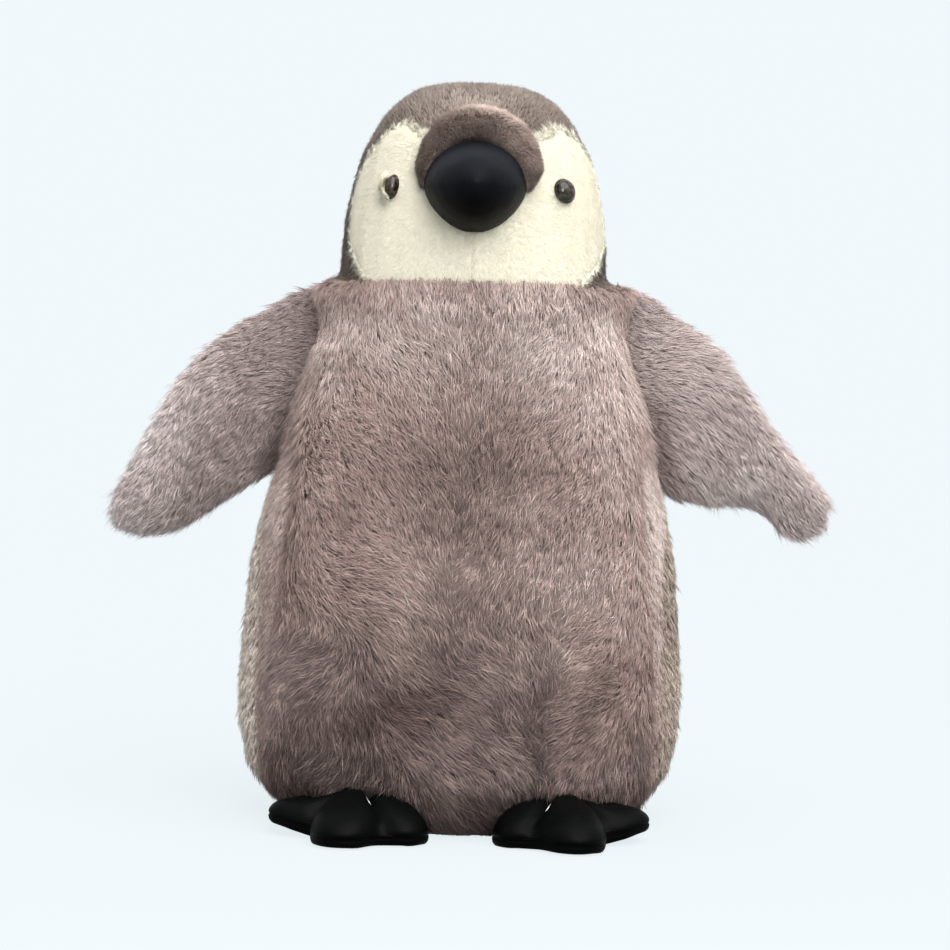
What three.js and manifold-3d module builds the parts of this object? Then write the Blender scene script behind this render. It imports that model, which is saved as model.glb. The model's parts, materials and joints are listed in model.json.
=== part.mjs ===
// A standing plush penguin chick: a pile-fabric body and head, two hinged flippers, two three-toed feet,
// a stuffed beak under a rolled brow, and safety eyes held by washers behind the face.
//
// Millimetres, +Z up. The front faces -Y, and left_ and right_ are the penguin's own: its left is +X.
// The origin is the middle of the flat base that it stands on.

import * as THREE from 'three';
import { mergeVertices } from 'three/addons/utils/BufferGeometryUtils.js';
import Module from 'manifold-3d';

const wasm = await Module();
wasm.setup();

// Driving dimensions.
const GAP = 0.3; // clearance between neighbours, such as two panels at their seam
const FILL_GAP = 0.6; // clearance between a fabric cover and the stuffing in it
const BODY_FABRIC = 8; // long pile and its backing, on the body and the head
const FLIPPER_FABRIC = 6;
const SMOOTH_FABRIC = 3; // the short-napped cloth of the beak and the feet
const SQUARENESS = 2.3; // exponent of the superelliptical cross-sections: 2 is an ellipse
const NECK_HEIGHT = 385;
const BELLY_HALF = 142; // the side seams run down the front at this distance from the middle
const RING = 28; // points round the body and the head
const ROWS = 13; // rows up the body, and up the head
const SMALL_RING = 14; // points round a flipper and an eye
const FOOT_RING = 26; // points round a foot
const FAR = 1000; // half the size of a block that stands for half of space

// Body profile: half width, front depth, height. The back is shallower than the front.
const BODY_PROFILE = [
  [122, 98, 0], [136, 110, 12], [153, 124, 38], [160.5, 132, 80], [158.5, 133, 120],
  [152, 130, 193], [139, 120, 255], [126, 108, 299], [115, 99, 336], [99.5, 92, NECK_HEIGHT],
];
const BODY_BACK_SHARE = 0.92;

const HEAD_PROFILE = [
  [99.5, 92, NECK_HEIGHT], [97, 91, 425], [92.5, 88, 451], [85.5, 82, 478], [77, 74, 495],
  [66, 63, 512], [49, 47, 526], [29, 28, 532], [4, 4, 534],
];
const HEAD_BACK_SHARE = 0.95;

// Face: the pale mask on the front of the head, as distances from the middle and heights.
const FACE_OUTLINE = [
  [0, NECK_HEIGHT - 10], [76, NECK_HEIGHT - 10], [78, NECK_HEIGHT + 3], [87, 401], [91.5, 420],
  [90, 448], [81, 473], [65, 492], [50, 499], [38, 488], [0, 480],
];
const FACE_MIDDLE = 440; // height that the face's outline grows from, to leave a gap
const FACE_REACH = 60; // usual distance from that middle to the outline
const FACE_DEPTH = 200; // deeper than the head's front half

// Beak: a blunt rounded cone on the front of the face, tipped very slightly down.
const BEAK_HEIGHT = 449.5;
const BEAK_HALF_WIDTH = 35;
const BEAK_HALF_HEIGHT = 31.5;
const BEAK_LENGTH = 60;
const BEAK_TILT = THREE.MathUtils.degToRad(2);
const BEAK_ROOT = 24; // how far the cone is drawn inside the head before the head trims it
// Shares of the beak's length that have a ring.
const BEAK_STATIONS = [0, 0.25, 0.48, 0.67, 0.81, 0.91, 0.97, 0.995];
const BEAK_TAPER = 1.7; // exponent of the share at which the cone starts to close
const BEAK_BLUNTNESS = 0.6; // exponent of what is left of the width: less makes a rounder tip
const BEAK_SQUARENESS = 2.1;
const BEAK_RING = 20;
const LEAST_HALF_WIDTH = 0.5; // of a ring where a cone or a roll closes

// Brow: a padded roll that arches over the beak.
const BROW_HALF_SPAN = 35;
const BROW_RISE = 45;
const BROW_TOP_RADIUS = 14;
const BROW_SIDE_RADIUS = 9.5;
const BROW_END_ANGLE = THREE.MathUtils.degToRad(92);
const BROW_SECTIONS = 10;
const BROW_RING = 12;
const BROW_FORWARD = 3; // how far the middle of the roll stands in front of the face
const BROW_DEPTH_SHARE = 1.05; // the roll is a little deeper than it is wide
const BROW_END_SHARE = 0.985; // how nearly the roll closes at its two ends
const BROW_END_POWER = 6; // how suddenly it closes

// Eyes: domed plastic, each with a stem through the fabric and a washer behind it.
const EYE_SIDE = 60;
const EYE_HEIGHT = 450;
const EYE_RADIUS = 7.5;
const EYE_DOME = 5.5;
const EYE_DOME_STEPS = 4;
const EYE_RIM = 1; // how far the dome's rim stands off the fabric
const EYE_STEM_RADIUS = 2.2;
const EYE_STEM_LENGTH = 14;
const WASHER_RADIUS = 10;
const WASHER_THICKNESS = 2;
const WASHER_SETBACK = 2; // room for the flat washer behind the curved fabric

// Flippers: pairs of points on the upper and the lower edge, as distance from the middle and height.
// The first pair is the shoulder seam. The left flipper's tip hooks down and the right one's is round.
const SHOULDER_TOP = [103.6, NECK_HEIGHT];
const SHOULDER_BOTTOM = [143.6, 254];
const FLIPPER_EDGES = {
  right: [
    [SHOULDER_TOP, SHOULDER_BOTTOM], [[146, 370], [155, 245]], [[182, 346], [166, 235]],
    [[209, 319], [179, 224]], [[227, 288], [192, 214]], [[241, 262], [206, 205]],
    [[252, 239], [222, 200]], [[259, 223], [238, 200]], [[258, 212], [250, 204]],
  ],
  left: [
    [SHOULDER_TOP, SHOULDER_BOTTOM], [[135, 376], [150, 243]], [[167, 354], [161, 235]],
    [[188, 337], [177, 232]], [[205, 310], [194, 231]], [[222, 286], [208, 229]],
    [[241, 264], [219, 222]], [[256, 247], [228, 213]], [[263, 237], [238, 208]],
    [[262, 225], [251, 210]],
  ],
};
const FLIPPER_SECTIONS = 10;
const SHOULDER_HALF_THICKNESS = 3.2; // thin at the seam, so that the flipper can fold about it
const FLIPPER_HALF_THICKNESS = 21;
const SHOULDER_TAPER = 0.34; // share of the length over which the flipper fills out
const TIP_TAPER_START = 0.55; // share of the length from which it thins again
const TIP_TAPER_LENGTH = 0.47; // just over what is left, so that the tip keeps some thickness
const FLIPPER_FILL = [0.13, 0.93]; // where the stuffing starts and ends, as shares of the length
const FLIPPER_FILL_GAP = 0.005; // what the stuffing leaves free at each end, as a share of the length

// Feet: a heel pad and three round toes, splayed outwards. Plan positions are for the left foot.
const HEEL = { x: 71, y: -110, radius: 30 };
const TOES = [
  { x: 45, y: -125, radius: 20 },
  { x: 78, y: -141, radius: 22.5 },
  { x: 110, y: -101, radius: 20 },
];
const SOLE_SEAM = 7; // height of the seam between the sole and the top of the foot
const FOOT_HEIGHT = 32;
const FOOT_FULLNESS = 0.7; // 1 is a round dome, and less is a flatter, fuller one
const FOOT_RINGS = 3;
const SOLE_SHARE = 0.95; // size of the sole's bottom edge, as a share of the outline
const CROWN_SHARE = 0.05; // size of the ring that closes the top
const FOOT_FLEX = THREE.MathUtils.degToRad(18);
const FOOT_FLEX_STEPS = 2;
const FOOT_CLEARANCE = 1;
// The edge that the foot is sewn on by, and flexes about.
const FOOT_HINGE = { x: 70, y: -95, z: 4, direction: new THREE.Vector3(0.94, 0.34, 0).normalize() };

// Care label: a small blank loop in the centre seam at the back.
const LABEL = { width: 2, length: 20, height: 30, bottom: 26 };
const LABEL_ROOT = 8; // how much of its length lies within the widest part of the body's outline
const LABEL_ZONE = 90; // the label is sewn on below this height

const MATERIALS = {
  body_fur: new THREE.MeshStandardMaterial({ color: 0x9c8880, roughness: 0.95, metalness: 0 }),
  back_fur: new THREE.MeshStandardMaterial({ color: 0xa4978d, roughness: 0.95, metalness: 0 }),
  cap_fur: new THREE.MeshStandardMaterial({ color: 0x6b625a, roughness: 0.95, metalness: 0 }),
  brow_fur: new THREE.MeshStandardMaterial({ color: 0x6b5a52, roughness: 0.95, metalness: 0 }),
  face_fleece: new THREE.MeshStandardMaterial({ color: 0xf0ebdc, roughness: 0.95, metalness: 0 }),
  smooth_cloth: new THREE.MeshStandardMaterial({ color: 0x1c1f22, roughness: 0.6, metalness: 0 }),
  eye_plastic: new THREE.MeshStandardMaterial({ color: 0x15100d, roughness: 0.12, metalness: 0 }),
  washer_plastic: new THREE.MeshStandardMaterial({ color: 0xe8e8e6, roughness: 0.5, metalness: 0 }),
  stuffing: new THREE.MeshStandardMaterial({ color: 0xf5f4f0, roughness: 1, metalness: 0 }),
  label_satin: new THREE.MeshStandardMaterial({ color: 0xf2f2ef, roughness: 0.5, metalness: 0 }),
};

const penguin = new THREE.Group();
penguin.name = 'plush_penguin';

// Solids.

function toSolid(geometry) {
  const bare = geometry.index ? geometry.clone() : geometry;
  bare.deleteAttribute('normal');
  bare.deleteAttribute('uv');
  const merged = mergeVertices(bare, 1e-4);
  const corners = merged.index.array;
  const kept = [];
  for (let i = 0; i < corners.length; i += 3) {
    const [a, b, c] = corners.slice(i, i + 3);
    if (a !== b && b !== c && c !== a) kept.push(a, b, c);
  }
  return new wasm.Manifold(new wasm.Mesh({
    numProp: 3,
    vertProperties: new Float32Array(merged.attributes.position.array),
    triVerts: new Uint32Array(kept),
  }));
}

function addPiece(name, solid, material) {
  const cut = solid.getMesh();
  const geometry = new THREE.BufferGeometry();
  geometry.setAttribute('position', new THREE.BufferAttribute(new Float32Array(cut.vertProperties), 3));
  geometry.setIndex(new THREE.BufferAttribute(new Uint32Array(cut.triVerts), 1));
  geometry.computeVertexNormals();
  const mesh = new THREE.Mesh(geometry, material);
  mesh.name = name;
  penguin.add(mesh);
}

// A closed solid through rings of points. Each ring runs anticlockwise about the way the rings go.
function loft(rings) {
  const count = rings[0].length;
  const points = rings.flat();
  const indices = [];
  for (let row = 0; row + 1 < rings.length; row += 1) {
    for (let i = 0; i < count; i += 1) {
      const a = row * count + i;
      const b = row * count + ((i + 1) % count);
      indices.push(a, b, b + count, a, b + count, a + count);
    }
  }
  const ends = [
    { ring: rings[0], first: 0, flip: true },
    { ring: rings.at(-1), first: points.length - count, flip: false },
  ];
  for (const { ring, first, flip } of ends) {
    const middle = points.length;
    points.push(ring.reduce((sum, p) => sum.add(p), new THREE.Vector3()).divideScalar(count));
    for (let i = 0; i < count; i += 1) {
      const a = first + i;
      const b = first + ((i + 1) % count);
      indices.push(...(flip ? [b, a, middle] : [a, b, middle]));
    }
  }
  const geometry = new THREE.BufferGeometry().setFromPoints(points);
  geometry.setIndex(indices);
  return toSolid(geometry);
}

function box(low, high) {
  const size = high.map((h, i) => h - low[i]);
  const geometry = new THREE.BoxGeometry(...size);
  geometry.translate(...high.map((h, i) => (h + low[i]) / 2));
  return toSolid(geometry);
}

function power(value, exponent) {
  return Math.sign(value) * Math.abs(value) ** exponent;
}

// A superellipse about a centre: u and v are its half axes, and u x v points along the loft.
function ringAbout(centre, u, v, count, exponent = 2) {
  return Array.from({ length: count }, (_, i) => {
    const angle = (i / count) * 2 * Math.PI;
    return centre.clone()
      .addScaledVector(u, power(Math.cos(angle), 2 / exponent))
      .addScaledVector(v, power(Math.sin(angle), 2 / exponent));
  });
}

// Body and head: rows of half width, front depth and height, drawn inset by the thickness of a layer.

function profileRows(profile, inset) {
  const points = profile.map((p) => new THREE.Vector3(...p));
  const curve = new THREE.CatmullRomCurve3(points, false, 'centripetal');
  const rows = [];
  for (let i = 0; i <= ROWS; i += 1) {
    const point = curve.getPoint(i / ROWS);
    const along = curve.getTangent(i / ROWS);
    const run = Math.hypot(along.x, along.z);
    const outward = along.z / run;
    rows.push({
      half: point.x - inset * outward,
      front: point.y - inset * outward,
      height: point.z + (inset * along.x) / run,
    });
  }
  return rows;
}

// The row at a height. Below the first row or above the last one, the profile runs straight on.
function rowAt(rows, height) {
  const above = rows.findIndex((row) => row.height >= height);
  if (above <= 0) return { ...(above === 0 ? rows[0] : rows.at(-1)), height };
  const [a, b] = [rows[above - 1], rows[above]];
  const share = (height - a.height) / (b.height - a.height);
  return {
    half: THREE.MathUtils.lerp(a.half, b.half, share),
    front: THREE.MathUtils.lerp(a.front, b.front, share),
    slope: (a.half - b.half) / (b.height - a.height),
    height,
  };
}

function bodyOfRows(profile, backShare, inset, low, high) {
  const all = profileRows(profile, inset).filter((row) => row.half > 1);
  const inside = all.filter((row) => row.height > low + 1 && row.height < high - 1);
  const rows = [rowAt(all, low), ...inside];
  if (profile === BODY_PROFILE) rows.push(rowAt(all, high));
  const rings = rows.map((row) => Array.from({ length: RING }, (_, i) => {
    const angle = (i / RING) * 2 * Math.PI;
    const depth = Math.cos(angle) > 0 ? row.front : row.front * backShare;
    return new THREE.Vector3(
      row.half * power(Math.sin(angle), 2 / SQUARENESS),
      -depth * power(Math.cos(angle), 2 / SQUARENESS),
      row.height,
    );
  }));
  return loft(rings);
}

const torsoSolid = (inset, low, high) => bodyOfRows(BODY_PROFILE, BODY_BACK_SHARE, inset, low, high);
const headSolid = (inset, low, high) => bodyOfRows(HEAD_PROFILE, HEAD_BACK_SHARE, inset, low, high);

// The point of the head's front surface at a distance from the middle and a height, and its outward normal.
function headSurface(side, height) {
  const { half, front, slope } = rowAt(profileRows(HEAD_PROFILE, 0), height);
  const across = Math.abs(side) / half;
  const depth = (1 - across ** SQUARENESS) ** (1 / SQUARENESS);
  const normal = new THREE.Vector3(
    (Math.sign(side) * across ** (SQUARENESS - 1)) / half,
    -(depth ** (SQUARENESS - 1)) / front,
    slope / half,
  ).normalize();
  return { point: new THREE.Vector3(side, -front * depth, height), normal };
}

function halfSpace(side) {
  const low = [side > 0 ? GAP / 2 : -FAR, -FAR, -FAR];
  const high = [side > 0 ? FAR : -GAP / 2, FAR, FAR];
  return box(low, high);
}

const SIDES = { left: 1, right: -1 };

function buildTorso() {
  const top = NECK_HEIGHT - GAP / 2;
  const cover = torsoSolid(0, 0, top).subtract(torsoSolid(BODY_FABRIC, -FAR, FAR));
  const belly = box([-BELLY_HALF, -FAR, -FAR], [BELLY_HALF, -GAP / 2, FAR]);
  const bellyAndSeam = box([-BELLY_HALF - GAP, -FAR, -FAR], [BELLY_HALF + GAP, GAP / 2, FAR]);
  for (const [name, side] of Object.entries(SIDES)) {
    const half = cover.intersect(halfSpace(side));
    addPiece(`belly_panel_${name}`, half.intersect(belly), MATERIALS.body_fur);
    addPiece(`back_panel_${name}`, half.subtract(bellyAndSeam), MATERIALS.back_fur);
  }
  const basePanel = torsoSolid(BODY_FABRIC + GAP + 1, 0, BODY_FABRIC + 4)
    .intersect(box([-FAR, -FAR, 0], [FAR, FAR, BODY_FABRIC]));
  addPiece('base_panel', basePanel, MATERIALS.back_fur);
  const filling = torsoSolid(BODY_FABRIC + FILL_GAP + 1, BODY_FABRIC + FILL_GAP, NECK_HEIGHT - FILL_GAP);
  addPiece('torso_stuffing', filling, MATERIALS.stuffing);
}

function faceBlock(grow) {
  const middle = new THREE.Vector2(0, FACE_MIDDLE);
  const scale = 1 + grow / FACE_REACH;
  const right = FACE_OUTLINE.map(([x, z]) => new THREE.Vector2(x, z));
  const left = FACE_OUTLINE.slice(1, -1).reverse().map(([x, z]) => new THREE.Vector2(-x, z));
  const outline = [...right, ...left].map((p) => p.sub(middle).multiplyScalar(scale).add(middle));
  const geometry = new THREE.ExtrudeGeometry(new THREE.Shape(outline), {
    depth: FACE_DEPTH,
    bevelEnabled: false,
  });
  geometry.rotateX(Math.PI / 2);
  return toSolid(geometry);
}

// Eyes: stem and dome are one piece, turned about the fabric's normal.

function alongNormal(profile, surface) {
  const points = profile.map(([radius, height]) => new THREE.Vector2(radius, height));
  const geometry = new THREE.LatheGeometry(points, SMALL_RING);
  const turn = new THREE.Quaternion().setFromUnitVectors(new THREE.Vector3(0, 1, 0), surface.normal);
  geometry.applyQuaternion(turn);
  geometry.translate(...surface.point.toArray());
  return toSolid(geometry);
}

function eyeProfile() {
  const dome = Array.from({ length: EYE_DOME_STEPS + 1 }, (_, i) => {
    const angle = (i / EYE_DOME_STEPS) * (Math.PI / 2);
    return [EYE_RADIUS * Math.cos(angle), EYE_RIM + EYE_DOME * Math.sin(angle)];
  });
  dome.at(-1)[0] = 0;
  const stem = [[0, -EYE_STEM_LENGTH], [EYE_STEM_RADIUS, -EYE_STEM_LENGTH], [EYE_STEM_RADIUS, EYE_RIM]];
  return [...stem, ...dome];
}

function washerProfile() {
  const outer = -(BODY_FABRIC + WASHER_SETBACK);
  const inner = outer - WASHER_THICKNESS;
  const hole = EYE_STEM_RADIUS + GAP;
  return [[hole, inner], [WASHER_RADIUS, inner], [WASHER_RADIUS, outer], [hole, outer], [hole, inner]];
}

function cylinderProfile(radius, low, high) {
  return [[0, low], [radius, low], [radius, high], [0, high]];
}

// Beak: rings along a tilted axis that starts inside the head.

function beakSolid(inset) {
  const axis = new THREE.Vector3(0, -Math.cos(BEAK_TILT), -Math.sin(BEAK_TILT));
  const base = headSurface(0, BEAK_HEIGHT).point;
  const upward = new THREE.Vector3(0, -Math.sin(BEAK_TILT), Math.cos(BEAK_TILT));
  const across = new THREE.Vector3(1, 0, 0);
  const length = BEAK_LENGTH - inset;
  const rings = [];
  for (const step of [-BEAK_ROOT / BEAK_LENGTH, ...BEAK_STATIONS]) {
    const width = (1 - Math.max(step, 0) ** BEAK_TAPER) ** BEAK_BLUNTNESS;
    const halfWidth = Math.max((BEAK_HALF_WIDTH - inset) * width, LEAST_HALF_WIDTH);
    const halfHeight = Math.max((BEAK_HALF_HEIGHT - inset) * width, LEAST_HALF_WIDTH);
    const centre = base.clone().addScaledVector(axis, step * length);
    const u = across.clone().multiplyScalar(halfWidth);
    const v = upward.clone().multiplyScalar(halfHeight);
    rings.push(ringAbout(centre, u, v, BEAK_RING, BEAK_SQUARENESS));
  }
  return loft(rings);
}

// Brow: a roll that follows the head's surface in an arch over the beak.

function browSolid(inset) {
  const rings = [];
  for (let i = 0; i <= BROW_SECTIONS; i += 1) {
    const share = (i / BROW_SECTIONS) * 2 - 1;
    const angle = share * BROW_END_ANGLE;
    const x = BROW_HALF_SPAN * Math.sin(angle);
    const z = BEAK_HEIGHT + BROW_RISE * Math.cos(angle);
    const surface = headSurface(x, z);
    const fullness = Math.sqrt(1 - (BROW_END_SHARE * Math.abs(share)) ** BROW_END_POWER);
    const wide = THREE.MathUtils.lerp(BROW_SIDE_RADIUS, BROW_TOP_RADIUS, Math.cos(angle) ** 2);
    const radius = Math.max(wide * fullness - inset, LEAST_HALF_WIDTH);
    const outward = new THREE.Vector3(Math.sin(angle), 0, Math.cos(angle));
    const forward = new THREE.Vector3(0, -1, 0);
    const centre = surface.point.clone().addScaledVector(forward, BROW_FORWARD);
    const u = outward.multiplyScalar(radius);
    const v = forward.multiplyScalar(radius * BROW_DEPTH_SHARE);
    rings.push(ringAbout(centre, u, v, BROW_RING));
  }
  return loft(rings);
}

function buildHead() {
  const low = NECK_HEIGHT + GAP / 2;
  const head = headSolid(0, low, FAR);
  const nearHead = headSolid(-GAP, low - 20, FAR);
  let face = head.subtract(headSolid(BODY_FABRIC, -FAR, FAR)).intersect(faceBlock(0));
  const cap = head.subtract(headSolid(BODY_FABRIC, -FAR, FAR)).subtract(faceBlock(GAP));
  let filling = headSolid(BODY_FABRIC + FILL_GAP, low + FILL_GAP, FAR);
  for (const [name, side] of Object.entries(SIDES)) {
    const surface = headSurface(side * EYE_SIDE, EYE_HEIGHT);
    const through = [-EYE_STEM_LENGTH, EYE_STEM_LENGTH];
    const hole = alongNormal(cylinderProfile(EYE_STEM_RADIUS + GAP, ...through), surface);
    const socketProfile = cylinderProfile(EYE_RADIUS + GAP, EYE_RIM - GAP, EYE_STEM_LENGTH);
    const socket = alongNormal(socketProfile, surface);
    const pocketDepth = EYE_STEM_LENGTH + 1;
    const pocket = alongNormal(cylinderProfile(WASHER_RADIUS + 1, -pocketDepth, 0), surface);
    face = face.subtract(hole).subtract(socket);
    filling = filling.subtract(pocket);
    addPiece(`eye_${name}`, alongNormal(eyeProfile(), surface), MATERIALS.eye_plastic);
    addPiece(`eye_washer_${name}`, alongNormal(washerProfile(), surface), MATERIALS.washer_plastic);
  }
  for (const [name, side] of Object.entries(SIDES)) {
    addPiece(`face_panel_${name}`, face.intersect(halfSpace(side)), MATERIALS.face_fleece);
    addPiece(`head_cap_${name}`, cap.intersect(halfSpace(side)), MATERIALS.cap_fur);
  }
  addPiece('head_stuffing', filling, MATERIALS.stuffing);

  const beak = beakSolid(0).subtract(nearHead);
  const beakHollow = beakSolid(SMOOTH_FABRIC);
  addPiece('beak_cover', beak.subtract(beakHollow), MATERIALS.smooth_cloth);
  const beakFilling = beakSolid(SMOOTH_FABRIC + FILL_GAP).subtract(headSolid(-FILL_GAP, low - 20, FAR));
  addPiece('beak_stuffing', beakFilling, MATERIALS.stuffing);

  const brow = browSolid(0).subtract(nearHead).subtract(beakSolid(-GAP));
  const browHollow = browSolid(SMOOTH_FABRIC);
  addPiece('brow_cover', brow.subtract(browHollow), MATERIALS.brow_fur);
  const browFilling = browSolid(SMOOTH_FABRIC + FILL_GAP)
    .subtract(headSolid(-FILL_GAP, low - 20, FAR))
    .subtract(beakSolid(-FILL_GAP));
  addPiece('brow_stuffing', browFilling, MATERIALS.stuffing);
}

// Flippers: sections between the two edges. They start thin at the shoulder seam.

function flipperThickness(share) {
  const rise = Math.sin(Math.min(share / SHOULDER_TAPER, 1) * (Math.PI / 2));
  const full = THREE.MathUtils.lerp(SHOULDER_HALF_THICKNESS, FLIPPER_HALF_THICKNESS, rise);
  const towardsTip = Math.max(share - TIP_TAPER_START, 0) / TIP_TAPER_LENGTH;
  return full * Math.sqrt(1 - towardsTip ** 2);
}

function flipperSolid(edges, side, inset, start, end) {
  const edgeCurve = (which) => {
    const points = edges.map((pair) => new THREE.Vector3(side * pair[which][0], 0, pair[which][1]));
    return new THREE.CatmullRomCurve3(points, false, 'centripetal');
  };
  const upper = edgeCurve(0);
  const lower = edgeCurve(1);
  const rings = [];
  for (let i = 0; i <= FLIPPER_SECTIONS; i += 1) {
    const share = THREE.MathUtils.lerp(start, end, i / FLIPPER_SECTIONS);
    const high = upper.getPoint(share);
    const centre = high.clone().add(lower.getPoint(share)).divideScalar(2);
    const u = high.sub(centre);
    u.setLength(u.length() - inset);
    const v = new THREE.Vector3(0, -side * (flipperThickness(share) - inset), 0);
    rings.push(ringAbout(centre, u, v, SMALL_RING, SQUARENESS));
  }
  return loft(rings);
}

function buildFlipper(name, side) {
  const edges = FLIPPER_EDGES[name];
  const [start, end] = FLIPPER_FILL;
  const hollow = flipperSolid(edges, side, FLIPPER_FABRIC, start, end);
  const cover = flipperSolid(edges, side, 0, 0, 1).subtract(hollow);
  const front = box([-FAR, -FAR, -FAR], [FAR, -GAP / 2, FAR]);
  const back = box([-FAR, GAP / 2, -FAR], [FAR, FAR, FAR]);
  addPiece(`flipper_front_${name}`, cover.intersect(front), MATERIALS.body_fur);
  addPiece(`flipper_back_${name}`, cover.intersect(back), MATERIALS.back_fur);
  const room = FLIPPER_FABRIC + FILL_GAP;
  const filling = flipperSolid(edges, side, room, start + FLIPPER_FILL_GAP, end - FLIPPER_FILL_GAP);
  addPiece(`flipper_stuffing_${name}`, filling, MATERIALS.stuffing);
}

// Feet: the plan is the outline round the heel pad and the toes, as seen from the heel's middle.

function footReach(angle, inset) {
  const reach = [HEEL.radius];
  for (const toe of TOES) {
    const dx = toe.x - HEEL.x;
    const dy = toe.y - HEEL.y;
    const distance = Math.hypot(dx, dy);
    const off = angle - Math.atan2(dy, dx);
    const across = distance * Math.sin(off);
    if (Math.abs(across) < toe.radius && Math.cos(off) > 0) {
      reach.push(distance * Math.cos(off) + Math.sqrt(toe.radius ** 2 - across ** 2));
    }
  }
  return Math.max(...reach) - inset;
}

function footSolid(side, inset, low, roof) {
  const ringAt = (size, height) => Array.from({ length: FOOT_RING }, (_, i) => {
    const angle = (side * i * 2 * Math.PI) / FOOT_RING;
    const reach = footReach(angle, inset) * size;
    const x = HEEL.x + reach * Math.cos(angle);
    const y = HEEL.y + reach * Math.sin(angle);
    return new THREE.Vector3(side * x, y, height);
  });
  const rings = [ringAt(SOLE_SHARE, low), ringAt(1, Math.max(low + 1, SOLE_SEAM - 3))];
  for (let i = 0; i < FOOT_RINGS; i += 1) {
    const angle = (i / FOOT_RINGS) * (Math.PI / 2);
    const rise = (roof - SOLE_SEAM) * power(Math.sin(angle), FOOT_FULLNESS);
    rings.push(ringAt(power(Math.cos(angle), FOOT_FULLNESS), SOLE_SEAM + rise));
  }
  rings.push(ringAt(CROWN_SHARE, roof));
  return loft(rings);
}

// The body as the foot meets it while it flexes up: the foot is cut back to clear all of them.
function clearOfBody(foot, side, clearance) {
  const axis = new THREE.Vector3(FOOT_HINGE.direction.x, side * FOOT_HINGE.direction.y, 0);
  const pivot = new THREE.Vector3(side * FOOT_HINGE.x, FOOT_HINGE.y, FOOT_HINGE.z);
  let left = foot;
  for (let i = 0; i <= FOOT_FLEX_STEPS; i += 1) {
    const angle = (i / FOOT_FLEX_STEPS) * FOOT_FLEX;
    const turn = new THREE.Matrix4().makeTranslation(pivot)
      .multiply(new THREE.Matrix4().makeRotationAxis(axis, angle))
      .multiply(new THREE.Matrix4().makeTranslation(pivot.clone().negate()));
    left = left.subtract(torsoSolid(-clearance, -20, 120).transform(turn.elements));
  }
  return left;
}

function buildFoot(name, side) {
  const inside = footSolid(side, SMOOTH_FABRIC, SMOOTH_FABRIC, FOOT_HEIGHT - SMOOTH_FABRIC);
  const hollow = clearOfBody(inside, side, FOOT_CLEARANCE + SMOOTH_FABRIC);
  const outside = footSolid(side, 0, 0, FOOT_HEIGHT);
  const cover = clearOfBody(outside, side, FOOT_CLEARANCE).subtract(hollow);
  const below = box([-FAR, -FAR, -FAR], [FAR, FAR, SOLE_SEAM - GAP / 2]);
  const above = box([-FAR, -FAR, SOLE_SEAM + GAP / 2], [FAR, FAR, FAR]);
  addPiece(`foot_sole_${name}`, cover.intersect(below), MATERIALS.smooth_cloth);
  addPiece(`foot_top_${name}`, cover.intersect(above), MATERIALS.smooth_cloth);
  const room = SMOOTH_FABRIC + FILL_GAP;
  const stuffed = footSolid(side, room, room, FOOT_HEIGHT - room);
  const filling = clearOfBody(stuffed, side, FOOT_CLEARANCE + room);
  addPiece(`foot_stuffing_${name}`, filling, MATERIALS.stuffing);
}

function buildLabel() {
  const rows = profileRows(BODY_PROFILE, 0);
  const depths = rows.filter((row) => row.height < LABEL_ZONE).map((row) => row.front);
  const start = Math.max(...depths) * BODY_BACK_SHARE - LABEL_ROOT;
  const low = [-LABEL.width / 2, start, LABEL.bottom];
  const high = [LABEL.width / 2, start + LABEL.length, LABEL.bottom + LABEL.height];
  const flap = box(low, high).subtract(torsoSolid(-GAP, -20, 200));
  addPiece('care_label', flap, MATERIALS.label_satin);
}

buildTorso();
buildHead();
for (const [name, side] of Object.entries(SIDES)) {
  buildFlipper(name, side);
  buildFoot(name, side);
}
buildLabel();

export default penguin;
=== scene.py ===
"""A plush penguin chick: long-pile body and flippers, short-pile cap and brow, fleece face, cloth beak.

Everything is in metres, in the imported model's frame: +Z up, the face looks along -Y, left is the
penguin's own. Each sewn panel is a thin shell cut from a smoothed form of the frame's solids, set in by
the height of its pile. The pile is real geometry: tufts of closed, tapered strands that lie along a
combing direction.
"""

import json
import math

import bmesh
import bpy
import numpy as np
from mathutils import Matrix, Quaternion, Vector
from mathutils.bvhtree import BVHTree
from mathutils.kdtree import KDTree


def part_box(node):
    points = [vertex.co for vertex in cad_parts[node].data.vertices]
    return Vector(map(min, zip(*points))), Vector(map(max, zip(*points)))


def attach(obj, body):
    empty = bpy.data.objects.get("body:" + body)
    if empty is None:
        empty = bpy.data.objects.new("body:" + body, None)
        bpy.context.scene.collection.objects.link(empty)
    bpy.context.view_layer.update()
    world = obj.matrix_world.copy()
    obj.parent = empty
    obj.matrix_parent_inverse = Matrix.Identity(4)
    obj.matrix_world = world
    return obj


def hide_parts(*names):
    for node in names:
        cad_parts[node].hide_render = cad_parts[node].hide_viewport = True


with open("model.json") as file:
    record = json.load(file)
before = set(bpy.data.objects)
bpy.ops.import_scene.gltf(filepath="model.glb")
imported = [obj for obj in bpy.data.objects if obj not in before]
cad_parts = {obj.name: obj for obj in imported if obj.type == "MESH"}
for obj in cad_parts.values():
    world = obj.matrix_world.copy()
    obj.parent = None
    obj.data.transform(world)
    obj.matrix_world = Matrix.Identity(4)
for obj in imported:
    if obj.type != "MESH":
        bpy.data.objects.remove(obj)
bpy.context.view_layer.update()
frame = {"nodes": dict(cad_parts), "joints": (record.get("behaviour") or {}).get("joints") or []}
NODES = frame["nodes"]
JOINTS = {joint["name"]: joint for joint in frame["joints"]}
SIDES = {"left": 1.0, "right": -1.0}
MM = 0.001
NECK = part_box("head_cap_left")[0].z
UV = "OFBake"
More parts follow.
